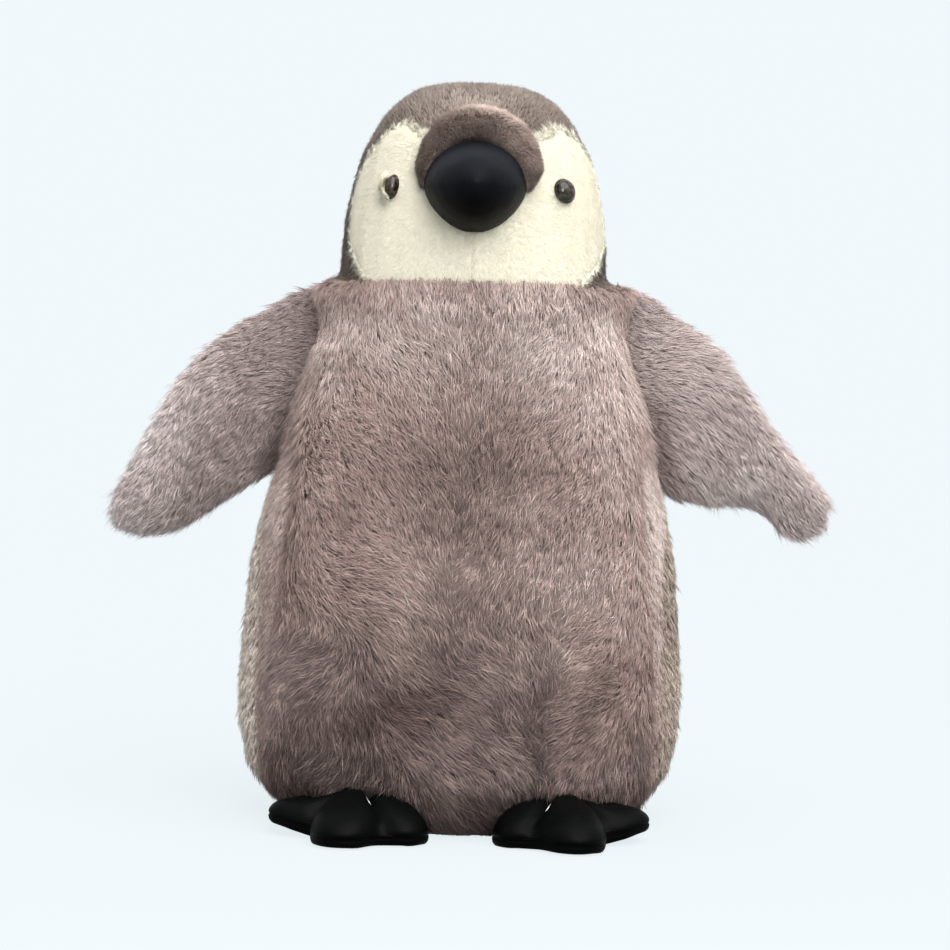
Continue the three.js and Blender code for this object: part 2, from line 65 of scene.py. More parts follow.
HASH_FACTORS = np.array([374761393, 668265263, 2147483647])
HASH_SEED = 144665
HASH_MIX = 1274126177
HASH_WORD = 0xFFFFFFFF

# ---- numbers in space


def unit(v):
    return v / np.maximum(np.linalg.norm(v, axis=-1, keepdims=True), 1e-9)


def smooth(low, high, value):
    t = np.clip((value - low) / (high - low), 0.0, 1.0)
    return t * t * (3.0 - 2.0 * t)


def lattice(cell, seed):
    """A repeatable number from 0 to 1 for each cell of a grid."""
    h = ((cell * HASH_FACTORS).sum(axis=-1) + seed * HASH_SEED) & HASH_WORD
    h = ((h ^ (h >> 13)) * HASH_MIX) & HASH_WORD
    return ((h ^ (h >> 16)) & 0xFFFF) / 65535.0


def noise(points, size, seed):
    """Smooth noise from -1 to 1, whose bumps are about as wide as size."""
    p = points / size
    base = np.floor(p).astype(np.int64)
    f = p - base
    f = f * f * (3.0 - 2.0 * f)
    total = np.zeros(len(points))
    for corner in range(8):
        step = np.array([(corner >> 2) & 1, (corner >> 1) & 1, corner & 1])
        weight = np.prod(np.where(step == 1, f, 1.0 - f), axis=1)
        total += weight * lattice(base + step, seed)
    return total * 2.0 - 1.0


def near(points, centre, radius):
    """1 at the centre, falling to 0 well outside the radius."""
    return np.exp(-(((points - np.asarray(centre)) / np.asarray(radius)) ** 2).sum(axis=1))


# ---- surfaces


def joined(names):
    bm = bmesh.new()
    for name in names:
        bm.from_mesh(NODES[name].data)
    mesh = bpy.data.meshes.new("joined")
    bm.to_mesh(mesh)
    bm.free()
    return mesh


def largest_part(bm):
    """Keeps the connected part with the most faces."""
    bm.verts.index_update()
    left = set(bm.verts)
    parts = []
    while left:
        stack, part = [left.pop()], set()
        while stack:
            v = stack.pop()
            part.add(v)
            for e in v.link_edges:
                other = e.other_vert(v)
                if other in left:
                    left.remove(other)
                    stack.append(other)
        parts.append(part)
    keep = max(parts, key=len)
    loose = [v for part in parts if part is not keep for v in part]
    bmesh.ops.delete(bm, geom=loose, context="VERTS")


def evaluated(obj):
    """The object's mesh with its modifiers applied, as a new mesh. The object is removed."""
    mesh = bpy.data.meshes.new_from_object(obj.evaluated_get(bpy.context.evaluated_depsgraph_get()))
    bpy.data.objects.remove(obj)
    return mesh


def linked(name, mesh):
    obj = bpy.data.objects.new(name, mesh)
    bpy.context.scene.collection.objects.link(obj)
    return obj


class Form:
    """A surface as arrays: points, faces with the same number of corners each, normals and areas."""

    def __init__(self, points, faces):
        self.points, self.faces = points, faces
        normals = np.zeros_like(points)
        areas = np.zeros(len(faces))
        for last in range(2, faces.shape[1]):
            triangle = (0, last - 1, last)
            a, b, c = (points[faces[:, n]] for n in triangle)
            cross = np.cross(b - a, c - a)
            areas += np.linalg.norm(cross, axis=1) / 2.0
            for n in triangle:
                np.add.at(normals, faces[:, n], cross)
        self.normals, self.areas = unit(normals), areas
        self.centres = points[faces].mean(axis=1)

    @classmethod
    def of_mesh(cls, mesh):
        points = np.empty(len(mesh.vertices) * 3)
        mesh.vertices.foreach_get("co", points)
        corners = len(mesh.polygons[0].vertices)
        faces = np.empty(len(mesh.polygons) * corners, int)
        mesh.polygons.foreach_get("vertices", faces)
        return cls(points.reshape(-1, 3), faces.reshape(-1, corners))

    @classmethod
    def of_nodes(cls, names, voxel, rounds):
        """One closed form round some CAD nodes, without the narrow gaps between them, then smoothed."""
        obj = linked("form", joined(names))
        remesh = obj.modifiers.new("remesh", "REMESH")
        remesh.mode = "VOXEL"
        remesh.voxel_size = voxel
        bm = bmesh.new()
        bm.from_mesh(evaluated(obj))
        largest_part(bm)
        mesh = bpy.data.meshes.new("form")
        bm.to_mesh(mesh)
        bm.free()
        return cls.of_mesh(mesh).relaxed(rounds)

    def adding(self):
        """A function that adds the values of each point's neighbours to a start value of its own."""
        pairs = np.concatenate([self.faces, np.roll(self.faces, -1, axis=1)]).reshape(2, -1)
        a, b = np.unique(np.sort(pairs, axis=0), axis=1)

        def add(start, values):
            total = start.copy()
            np.add.at(total, a, values[b])
            np.add.at(total, b, values[a])
            return total

        return add

    def relaxed(self, rounds, pull=0.55, push=-0.56):
        """Smoothed without shrinking: each round pulls the points together, then pushes them back out."""
        add = self.adding()
        count = add(np.zeros(len(self.points)), np.ones(len(self.points)))[:, None]
        points = self.points.copy()
        for step in (pull, push) * rounds:
            points += step * (add(np.zeros_like(points), points) / count - points)
        return Form(points, self.faces)

    def spread(self, values, rounds):
        """Averages a value at each point with its neighbours."""
        add = self.adding()
        count = add(np.ones(len(self.points)), np.ones(len(self.points)))
        for _ in range(rounds):
            values = add(values, values) / count
        return values

    def moved(self, distance):
        step = np.broadcast_to(np.asarray(distance, float), (len(self.points),))
        return Form(self.points + self.normals * step[:, None], self.faces)

    def only(self, chosen):
        """The chosen faces, with the points that they use."""
        used, index = np.unique(self.faces[chosen], return_inverse=True)
        part = Form(self.points[used], index.reshape(-1, self.faces.shape[1]))
        part.normals = self.normals[used]
        return part

    def scatter(self, count, rng):
        """Random points on the faces, which have four corners each, as many for each area."""
        running = np.cumsum(self.areas)
        found = np.searchsorted(running, rng.random(count) * running[-1])
        face = self.faces[np.minimum(found, len(running) - 1)]
        s, t = rng.random(count), rng.random(count)
        weights = np.stack([(1 - s) * (1 - t), s * (1 - t), s * t, (1 - s) * t], axis=1)[..., None]
        return (self.points[face] * weights).sum(axis=1), unit((self.normals[face] * weights).sum(axis=1))


def search_tree(points):
    tree = KDTree(len(points))
    for n, point in enumerate(points):
        tree.insert(point, n)
    tree.balance()
    return tree


def spaced(points, radius):
    """The places of points to keep, in order, so that no two are nearer than the radius."""
    tree = search_tree(points)
    keep = np.ones(len(points), bool)
    for n, point in enumerate(points):
        if keep[n]:
            for _, other, _ in tree.find_range(point, radius):
                if other > n:
                    keep[other] = False
    return np.flatnonzero(keep)


def even_roots(form, count, rng):
    """About count points on a form, spread more evenly than chance would."""
    roots, normals = form.scatter(2 * count, rng)
    keep = spaced(roots, 0.72 * math.sqrt(form.areas.sum() / count))[:count]
    return roots[keep], normals[keep]


def surface_tree(names):
    """A search tree over some CAD nodes' faces, and for each face the place of its node in names."""
    points, faces, who = [], [], []
    for n, name in enumerate(names):
        start = len(points)
        mesh = NODES[name].data
        points += [v.co.copy() for v in mesh.vertices]
        faces += [[start + i for i in p.vertices] for p in mesh.polygons]
        who += [n] * len(mesh.polygons)
    return BVHTree.FromPolygons(points, faces), who


def owners(places, names):
    """For each place, the index in names of the CAD node that is nearest."""
    tree, who = surface_tree(names)
    return np.array([who[tree.find_nearest(Vector(c))[2]] for c in places])


def seam_tree(form, owner, pairs=None):
    """A search tree over the middles of the edges between panels, or between these pairs of panels."""
    corners = form.faces.shape[1]
    a = form.faces.ravel()
    b = np.roll(form.faces, -1, axis=1).ravel()
    key = np.minimum(a, b) * len(form.points) + np.maximum(a, b)
    who = np.repeat(owner, corners)
    order = np.argsort(key, kind="stable")
    key, who, a, b = key[order], who[order], a[order], b[order]
    same = np.flatnonzero((key[1:] == key[:-1]) & (who[1:] != who[:-1]))
    if pairs is not None:
        same = np.array([n for n in same if frozenset((who[n], who[n + 1])) in pairs])
    return search_tree((form.points[a[same]] + form.points[b[same]]) / 2.0)


def distance_to(tree, points):
    return np.array([tree.find(p)[2] for p in points])


# ---- materials

WEAVE_SCALE = 159.9189  # a Wave node's scale that gives about 510 threads in a metre
MIX_FACTOR, MIX_A, MIX_B, MIX_RESULT = 0, 6, 7, 2  # a colour Mix node's sockets


def srgb(*levels):
    """A colour given as 0 to 255 levels, as linear light."""
    c = np.array(levels, float) / 255.0
    linear = np.where(c <= 0.04045, c / 12.92, ((c + 0.055) / 1.055) ** 2.4)
    return (*linear, 1.0)


def grey(level):
    return (level, level, level, 1.0)


def new_material(name, roughness, sheen=0.0, tint=1.0, specular=0.25):
    material = bpy.data.materials.new(name)
    material.use_nodes = True
    tree = material.node_tree
    shader = tree.nodes["Principled BSDF"]
    shader.inputs["Roughness"].default_value = roughness
    shader.inputs["Specular IOR Level"].default_value = specular
    shader.inputs["Sheen Weight"].default_value = sheen
    shader.inputs["Sheen Roughness"].default_value = 0.5
    shader.inputs["Sheen Tint"].default_value = grey(tint)
    return material, tree, shader


def add_node(tree, kind, inputs=None):
    """A new node. Each input named gets a value, or another node's output to follow."""
    node = tree.nodes.new(f"ShaderNode{kind}")
    for name, value in (inputs or {}).items():
        if isinstance(value, bpy.types.NodeSocket):
            tree.links.new(value, node.inputs[name])
        else:
            node.inputs[name].default_value = value
    return node


def object_place(tree):
    """Where a point is, in its object's own frame, in metres."""
    return add_node(tree, "TexCoord").outputs["Object"]


def ramp(tree, source, *stops):
    """A colour ramp fed by source. Each stop is a place and a colour."""
    node = add_node(tree, "ValToRGB", {"Fac": source})
    elements = node.color_ramp.elements
    while len(elements) < len(stops):
        elements.new(0.5)
    for element, (place, colour) in zip(elements, stops):
        element.position = place
        element.color = colour
    return node.outputs["Color"]


def multiplied(tree, a, b):
    """One colour times another."""
    node = tree.nodes.new("ShaderNodeMix")
    node.data_type = "RGBA"
    node.blend_type = "MULTIPLY"
    node.inputs[MIX_FACTOR].default_value = 1.0
    tree.links.new(a, node.inputs[MIX_A])
    tree.links.new(b, node.inputs[MIX_B])
    return node.outputs[MIX_RESULT]


def noise_node(tree, scale, detail, stretch=(1, 1, 1)):
    mapping = add_node(tree, "Mapping", {"Vector": object_place(tree), "Scale": stretch})
    inputs = {"Vector": mapping.outputs["Vector"], "Scale": scale, "Detail": detail}
    return add_node(tree, "TexNoise", inputs).outputs["Fac"]


def weave(tree):
    """Two sets of fine waves crossed at right angles."""
    waves = []
    for direction in ("X", "Z"):
        inputs = {"Vector": object_place(tree), "Scale": WEAVE_SCALE, "Distortion": 0.6}
        wave = add_node(tree, "TexWave", inputs)
        wave.bands_direction = direction
        waves.append(wave.outputs["Color"])
    return multiplied(tree, *waves)


def bump(tree, shader, height, strength, distance):
    node = add_node(tree, "Bump", {"Height": height, "Strength": strength, "Distance": distance})
    tree.links.new(node.outputs["Normal"], shader.inputs["Normal"])


def painted(tree, shader, colour):
    tree.links.new(colour, shader.inputs["Base Color"])


def pile_material(name, dark, middle, light, painted_root_shade, sheen, tint):
    """Hair colour from a chart in UV: across is the hair's tone, and up goes from its root to its tip, with
    painted shade darkening the roots deep in the pile.
    """
    material, tree, shader = new_material(name, 0.9, sheen, tint)
    uv = add_node(tree, "UVMap")
    uv.uv_map = UV
    split = add_node(tree, "SeparateXYZ", {"Vector": uv.outputs["UV"]}).outputs
    tone = ramp(tree, split["X"], (0.0, srgb(*dark)), (0.5, srgb(*middle)), (1.0, srgb(*light)))
    # The roots are painted darker: painted shade deep in the pile.
    depth = ramp(tree, split["Y"], (0.0, grey(painted_root_shade)), (0.6, grey(0.86)), (1.0, grey(1.0)))
    painted(tree, shader, multiplied(tree, tone, depth))
    return material


def backing_material(name, colour, fleck):
    """Knitted backing cloth, seen only deep between the hairs."""
    material, tree, shader = new_material(name, 0.95)
    loops = noise_node(tree, 420.0, 4.0)
    painted(tree, shader, ramp(tree, loops, (0.3, srgb(*colour)), (0.75, srgb(*fleck))))
    bump(tree, shader, loops, 0.5, 0.5 * MM)
    return material


def cloth_material(name, dark, light, roughness, sheen):
    """Smooth short-napped cloth: a fine weave, soft clouding and a faint sheen."""
    material, tree, shader = new_material(name, roughness, sheen, 0.8)
    threads = weave(tree)
    clouds = noise_node(tree, 38.0, 5.0)
    colour = ramp(tree, clouds, (0.3, srgb(*dark)), (0.72, srgb(*light)))
    painted(tree, shader, multiplied(tree, colour, ramp(tree, threads, (0.0, grey(0.8)), (1.0, grey(1.0)))))
    bump(tree, shader, threads, 0.25, 0.15 * MM)
    return material


# ---- meshes and pieces


def mesh_object(name, points, faces, material):
    """An object from an array of points and one of faces with the same number of corners each."""
    mesh = bpy.data.meshes.new(name)
    faces = np.asarray(faces)
    mesh.vertices.add(len(points))
    mesh.vertices.foreach_set("co", np.asarray(points, np.float32).ravel())
    mesh.loops.add(faces.size)
    mesh.loops.foreach_set("vertex_index", faces.astype(np.int32).ravel())
    mesh.polygons.add(len(faces))
    starts = np.arange(len(faces)) * faces.shape[1]
    mesh.polygons.foreach_set("loop_start", starts.astype(np.int32))
    mesh.polygons.foreach_set("use_smooth", np.ones(len(faces), bool))
    mesh.materials.append(material)
    mesh.update(calc_edges=True)
    return linked(name, mesh)


def shell(name, form, thickness, material):
    """A thin closed shell with the form as its outer face."""
    obj = mesh_object(name, form.points, form.faces, material)
    solid = obj.modifiers.new("cloth", "SOLIDIFY")
    solid.thickness = thickness
    solid.offset = -1.0
    return obj


def piece(obj, body, slot, *nodes, fill=None):
    """Sets a visible piece under its body's empty and hides the CAD nodes that it replaces. The slot (its
    finish) and fill (how full a pad is) are not used.
    """
    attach(obj, body)
    if nodes:
        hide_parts(*nodes)


# ---- pile

TONES = 32  # columns of the pile's colour chart, from the darkest hair to the lightest
COLUMN_MARGIN = 0.2  # of a column's width, left free at each of its edges
CHART_LOW, CHART_HIGH = 0.02, 0.98  # the chart's rows for a hair's root and its tip


class Pile:
    """How one fabric's hair looks. Lengths in metres, angles in degrees from the cloth's normal."""

    def __init__(self, length, width, rise, lay, per_tuft, radius, gather, stray, rings=2, ridge=1.1):
        self.length, self.width = length, width
        self.rise, self.lay = rise, lay  # how far over a strand leans at its root, and at its tip
        self.per_tuft, self.radius = per_tuft, radius  # how many strands a tuft has, and how wide it is
        self.gather = gather  # how far a tuft's tips come together, from 0 to 1
        self.stray = stray  # how many degrees a tuft turns away from its combing
        self.rings = rings  # rings of three points in a strand, below its tip
        self.ridge = ridge  # how high a strand's ridge is, as a share of half its width

    def band(self):
        """The most strands in one piece."""
        return MOST_FACES // len(strand_faces(self.rings))


LONG = Pile(18.0 * MM, 0.68 * MM, 55, 82, 7, 2.8 * MM, 0.4, 12)
FLIPPER = Pile(14.5 * MM, 0.68 * MM, 56, 83, 7, 2.6 * MM, 0.5, 9)
SIDE = Pile(10.5 * MM, 0.85 * MM, 58, 85, 6, 2.4 * MM, 0.35, 7)
CAP = Pile(5.6 * MM, 0.66 * MM, 52, 66, 6, 1.7 * MM, 0.35, 16, 1)
FLEECE = Pile(3.0 * MM, 0.6 * MM, 76, 84, 6, 1.5 * MM, 0.05, 22, 1, 0.3)
FRINGE = Pile(6.5 * MM, 0.8 * MM, 70, 78, 6, 1.2 * MM, 0.95, 14, 1)
LID = Pile(7.0 * MM, 0.75 * MM, 38, 84, 6, 1.2 * MM, 0.3, 9)
VELVET = Pile(4.6 * MM, 0.6 * MM, 34, 46, 6, 1.6 * MM, 0.4, 18, 1)
MOST_FACES = 199000  # in one piece of pile
STRAND_TONE = 0.08  # how much a strand's tone differs from its tuft's
HEM = 0.8 * MM  # no strand lies lower than this
FLAT_RIDGE = 0.5  # a strand with a lower ridge than this is shaded flat


def strand_faces(rings):
    """The triangles of one strand: its root, its sides and its tip."""
    faces = [[0, 2, 1]]
    sides = ((0, 1), (1, 2), (2, 0))
    for low in range(0, (rings - 1) * 3, 3):
        for a, b in sides:
            faces += [[low + a, low + b, low + b + 3], [low + a, low + b + 3, low + a + 3]]
    top = (rings - 1) * 3
    return np.array(faces + [[top + a, top + b, top + 3] for a, b in sides])


def grow(name, roots, normals, comb, tone, pile, rng, material, scale=None):
    """One object with a tuft of strands at each root. comb is the way the tips point; tone is 0 to 1."""
    tufts, k = len(roots), pile.per_tuft
    count = tufts * k
    scale = np.ones(tufts) if scale is None else scale
    comb = unit(comb - normals * (comb * normals).sum(axis=1, keepdims=True))
    side = np.cross(normals, comb)

    def each(v):
        return np.repeat(v, k, axis=0)

    def jitter(degrees):
        """A random turn for each tuft, and a smaller one for each of its strands."""
        turns = each(np.radians(rng.normal(0.0, degrees, tufts)))
        return turns + np.radians(rng.normal(0.0, degrees * 0.7, count))

    normal, forward, across, size = each(normals), each(comb), each(side), each(scale)
    turn = rng.random(count) * 2 * math.pi
    spread = np.sqrt(rng.random(count)) * pile.radius
    offset = (forward * np.cos(turn)[:, None] + across * np.sin(turn)[:, None]) * spread[:, None]
    heading = jitter(pile.stray)
    ahead = forward * np.cos(heading)[:, None] + across * np.sin(heading)[:, None]
    rise, lay = math.radians(pile.rise) + jitter(7.0), math.radians(pile.lay) + jitter(6.0)
    first = normal * np.cos(rise)[:, None] + ahead * np.sin(rise)[:, None]
    last = normal * np.cos(lay)[:, None] + ahead * np.sin(lay)[:, None]
    length = pile.length * size * (1.0 + rng.normal(0.0, 0.13, count))
    length *= each(1.0 + rng.normal(0.0, 0.10, tufts))
    base = each(roots)

    levels = np.linspace(0.0, 1.0, pile.rings + 1)
    middles = [
        base + offset * (1.0 - pile.gather * t**1.3)
        + length[:, None] * (first * (t - t * t / 2) + last * (t * t / 2))
        for t in levels
    ]
    for middle in middles:
        middle[:, 2] = np.maximum(middle[:, 2], HEM)
    stride = pile.rings * 3 + 1
    points = np.empty((count, stride, 3), np.float32)
    for n, t in enumerate(levels[:-1]):
        along = unit(middles[n + 1] - middles[n])
        flat = unit(np.cross(along, normal))
        ridge = np.cross(flat, along)
        half = (pile.width / 2 * (1.0 - t) ** 0.55 * size)[:, None]
        points[:, n * 3] = middles[n] - flat * half
        points[:, n * 3 + 1] = middles[n] + ridge * half * pile.ridge
        points[:, n * 3 + 2] = middles[n] + flat * half
    points[:, -1] = middles[-1]
    starts = (np.arange(count) * stride)[:, None, None]
    faces = (strand_faces(pile.rings)[None] + starts).reshape(-1, 3)
    obj = mesh_object(name, points.reshape(-1, 3), faces, material)
    if pile.ridge < FLAT_RIDGE:
        obj.data.shade_flat()

    shade = each(tone) + rng.normal(0.0, STRAND_TONE, count)
    column = np.clip((shade * TONES).astype(int), 0, TONES - 1)
    across_column = np.array([COLUMN_MARGIN, 0.5, 1 - COLUMN_MARGIN] * pile.rings + [0.5])
    up = np.append(np.repeat(levels[:-1], 3), 1.0)
    u = (column[:, None] + across_column[None]) / TONES
    v = np.broadcast_to(CHART_LOW + (CHART_HIGH - CHART_LOW) * up, u.shape)
    uv = np.stack([u, v], axis=-1).reshape(-1, 2)[faces.ravel()]
    obj.data.uv_layers.new(name=UV).data.foreach_set("uv", uv.astype(np.float32).ravel())
    return obj


# ---- trunk: body and head

PANELS = [
    "belly_panel_left", "belly_panel_right", "back_panel_left", "back_panel_right", "base_panel",
    "face_panel_left", "face_panel_right", "head_cap_left", "head_cap_right",
]
BODY_PANELS = 5  # the first panels are the body's
# How far the body is puffed up between the neck and each flipper.
SHOULDER_RISE = {"left": 22 * MM, "right": 19 * MM}
FLANK_RISE = 4.5 * MM  # how much fuller the right flank is stuffed than the left
EDGE_SHIFT = 8 * MM  # how far the left edge of the fleece is sewn further out than the right one
INNER = ["torso_stuffing", "head_stuffing", "eye_left", "eye_right", "eye_washer_left", "eye_washer_right"]
BACKING = 1.2 * MM
# How deep each panel's cloth lies under the CAD surface: as deep as its pile stands up.
INSET = {
    "belly_panel": 5.0 * MM, "back_panel": 4.4 * MM, "base_panel": 0.8 * MM,
    "face_panel": 2.0 * MM, "head_cap": 4.8 * MM,
}
RAY_START, RAY_LENGTH = 0.2 * MM, 50 * MM
FILL_SHARE = 0.42  # the most of a form's thickness that its filling is set in by


def fill_material():
    """White polyester fibre."""
    material, tree, shader = new_material("fibre_fill", 0.95, 0.3)
    fibres = noise_node(tree, 260.0, 6.0, (1, 1, 2.5))
    colour = ramp(tree, fibres, (0.3, srgb(214, 212, 206)), (0.7, srgb(244, 243, 238)))
    painted(tree, shader, colour)
    bump(tree, shader, fibres, 0.6, 1.0 * MM)
    return material


fibre_fill = fill_material()


def room_inside(form, most, share):
    """How far each point may move in: at most this far, and this share of the form's thickness there."""
    tree = BVHTree.FromPolygons([Vector(p) for p in form.points], form.faces.tolist())
    depth = np.full(len(form.points), most)
    for n, (point, normal) in enumerate(zip(form.points, form.normals)):
        hit = tree.ray_cast(Vector(point - normal * RAY_START), Vector(-normal), RAY_LENGTH)
        if hit[0] is not None:
            depth[n] = min(most, share * hit[3])
    return depth


def filling(name, form, depth, body, node):
    """The stuffing, this far inside a skin."""
    inner = form.moved(-room_inside(form, depth, FILL_SHARE)).relaxed(4, push=0.0)
    piece(mesh_object(name, inner.points, inner.faces, fibre_fill), body, "stuffing", node, fill=0.9)


def panel_kind(name):
    return name.removesuffix("_left").removesuffix("_right")


def owner_of_points(form, owner):
    """For each point, one of the panels round it."""
    who = np.zeros(len(form.points), int)
    who[form.faces] = owner[:, None]
    return who


def trunk_form():
    """The body and head as one form, set in by the pile's height, and which panel owns each face."""
    outer = Form.of_nodes(PANELS + INNER, 3.2 * MM, 6)
    x, z = outer.centres[:, 0], outer.centres[:, 2]
    cheek = smooth(0.005, 0.045, x) * smooth(NECK, NECK + 10 * MM, z)
    shift = EDGE_SHIFT * cheek * (0.55 + 0.45 * smooth(0.40, 0.46, z))
    owner = owners(outer.centres - np.outer(shift, [1.0, 0.0, 0.0]), PANELS)
    inset = np.zeros(len(outer.points))
    inset[outer.faces] = np.array([INSET[panel_kind(name)] for name in PANELS])[owner][:, None]
    x, z = outer.points[:, 0], outer.points[:, 2]
    inset -= FLANK_RISE * smooth(-0.07, -0.12, x) * smooth(0.0, 0.03, z) * smooth(0.27, 0.20, z)
    on_body = owner_of_points(outer, owner) < BODY_PANELS
    for side, s in SIDES.items():
        shoulder = near(outer.points, (s * 0.094, -0.004, NECK - 0.006), (0.026, 0.05, 0.020))
        inset -= np.where(on_body, SHOULDER_RISE[side] * shoulder, 0.0)
    return outer.moved(-outer.spread(inset, 6)).relaxed(3), owner


trunk, trunk_owner = trunk_form()
seams = seam_tree(trunk, trunk_owner)

# The mauve and brown backings are coloured darker than their piles: painted shade deep between the hairs. The
# cream one matches its fleece.
mauve_backing = backing_material("mauve_knit_backing", (138, 118, 112), (162, 142, 135))
brown_backing = backing_material("brown_knit_backing", (98, 86, 78), (122, 108, 99))
cream_backing = backing_material("cream_knit_backing", (196, 190, 170), (204, 198, 179))
base_cloth = cloth_material("base_cloth", (96, 84, 79), (122, 108, 102), 0.9, 0.2)

PANEL_LOOKS = {
    "belly_panel": ("body_fur", mauve_backing),
    "back_panel": ("back_fur", mauve_backing),
    "base_panel": ("body_fur", base_cloth),
    "face_panel": ("face_fleece", cream_backing),
    "head_cap": ("cap_fur", brown_backing),
}
parts = {}
for n, name in enumerate(PANELS):
    parts[name] = trunk.only(trunk_owner == n)
    slot, material = PANEL_LOOKS[panel_kind(name)]
    piece(shell(f"{name}_cloth", parts[name], BACKING, material), "torso", slot, name, fill=0.85)

# Each pile's darkest, middle and lightest tone, how pale its roots stay under their painted shade, its sheen
# and the sheen's level.
body_pile = pile_material("mauve_pile", (88, 68, 63), (180, 156, 148), (246, 232, 225), 0.68, 0.1, 0.9)
back_pile = pile_material("beige_pile", (112, 95, 84), (188, 171, 158), (240, 228, 216), 0.7, 0.1, 0.9)
flipper_pile = pile_material(
    "pale_mauve_pile", (108, 90, 86), (192, 174, 169), (248, 236, 232), 0.68, 0.1, 0.9
)
cap_pile = pile_material("cap_pile", (58, 48, 40), (128, 114, 103), (210, 196, 184), 0.72, 0.08, 0.8)
brow_pile = pile_material("brow_pile", (52, 41, 36), (136, 117, 108), (216, 198, 187), 0.74, 0.1, 0.8)
fleece_pile = pile_material(
    "cream_fleece", (176, 161, 138), (202, 197, 178), (217, 213, 196), 0.96, 0.03, 1.0
)

DOWN = np.array([0.0, 0.0, -1.0])
ACROSS_AND_UP = np.array([1.0, 0.0, 1.0])
# Places where the pile has been rubbed another way: across, up, radius, then the heading in degrees from
# straight down, turning towards the penguin's left.
RUBBED = [
    (0.049, 0.142, 0.030, 38), (0.092, 0.155, 0.026, -70), (-0.104, 0.122, 0.040, -62),
    (-0.035, 0.216, 0.022, 10), (-0.075, 0.185, 0.034, 80), (0.075, 0.085, 0.045, -80),
    (0.0, 0.075, 0.05, 60),
]
# Patches of painted light and shade on the chest, paler or darker: by how much, across, up, then the reach
# across and up.
LIT_AND_SHADED_PATCHES = [
    (-0.19, 0.0, 0.262, 0.06, 0.05), (-0.16, -0.03, 0.095, 0.085, 0.055),
    (0.16, -0.108, 0.118, 0.028, 0.03), (0.12, 0.052, 0.135, 0.035, 0.022),
    (0.08, 0.115, 0.16, 0.04, 0.06), (-0.08, 0.10, 0.09, 0.05, 0.05),
]


def heading_vector(degrees):
    """Directions on the front: 0 is down, and positive turns towards the penguin's left."""
    a = np.radians(degrees)
    return np.stack([np.sin(a), np.zeros_like(a), -np.cos(a)], axis=1)


def chest_comb(p):
    """The chest's hair lies inwards at the top and is ruffled lower down, more so where it's rubbed."""
    x, z = p[:, 0] + 12 * MM * noise(p, 0.04, 5), p[:, 2]
    lean = np.where(x < 0, 58.0, 36.0) * np.tanh(np.abs(x) / 0.045)
    lean *= 0.35 + 0.65 * smooth(0.385, 0.33, z)
    low = smooth(0.235, 0.13, z)
    heading = -np.sign(x) * lean * (1 - 0.5 * low)
    heading += noise(p, 0.052, 3) * (12 + 55 * low) + noise(p, 0.022, 4) * (12 + 42 * low)
    heading *= smooth(8 * MM, -8 * MM, strip_line(p))
    way = heading_vector(heading)
    for across, up, radius, turn in RUBBED:
        weight = near(p * ACROSS_AND_UP, (across, 0.0, up), radius)[:, None]
        way = way * (1 - weight) + heading_vector(np.full(len(p), float(turn))) * weight
    return way


def flipper_frame(side):
    """The middle of the shoulder seam, the way up along it, and the way out from it."""
    joint = JOINTS[f"{side}_flipper_sweep"]
    up = np.array(joint["axis"], float)
    up *= np.sign(up[2])
    out = np.array([SIDES[side] * up[2], 0.0, abs(up[0])])
    return np.array(joint["pos_m"], float), up, out


def strip_line(p):
    """How far each place is past the line down each flank where the belly's long hair ends."""
    return np.abs(p[:, 0]) - 0.131 + 0.012 * smooth(0.10, 0.27, p[:, 2])


def strip_share(p):
    """1 on the strip of short hair down each flank, and 0 on the belly."""
    return smooth(-2.5 * MM, 2.5 * MM, strip_line(p)) * smooth(0.285, 0.26, p[:, 2])


def strip_groove(p):
    """1 along the groove between that strip and the belly."""
    return np.exp(-((strip_line(p) / (2.6 * MM)) ** 2)) * smooth(0.285, 0.26, p[:, 2])


def shoulder_scale(p):
    """The hair is shorter on the shoulders, where it lies close."""
    return 1.0 - 0.42 * smooth(0.068, 0.09, np.abs(p[:, 0])) * smooth(NECK - 0.04, NECK - 0.012, p[:, 2])


def belly_scale(p):
    return shoulder_scale(p) - 0.42 * strip_share(p) - 0.25 * strip_groove(p)


def armpit_shade(p):
    """How much painted shade darkens the hair along the shoulder seams, most of all at their lower ends in
    the armpits.
    """
    shade = np.zeros(len(p))
    for side in SIDES:
        middle, up, out = flipper_frame(side)
        along, across = (p - middle) @ up, (p - middle) @ out
        amount = 0.10 + 0.32 * smooth(0.0, -0.055, along)
        shade += amount * np.exp(-((across / 0.011) ** 2)) * smooth(-0.095, -0.06, along)
    return shade


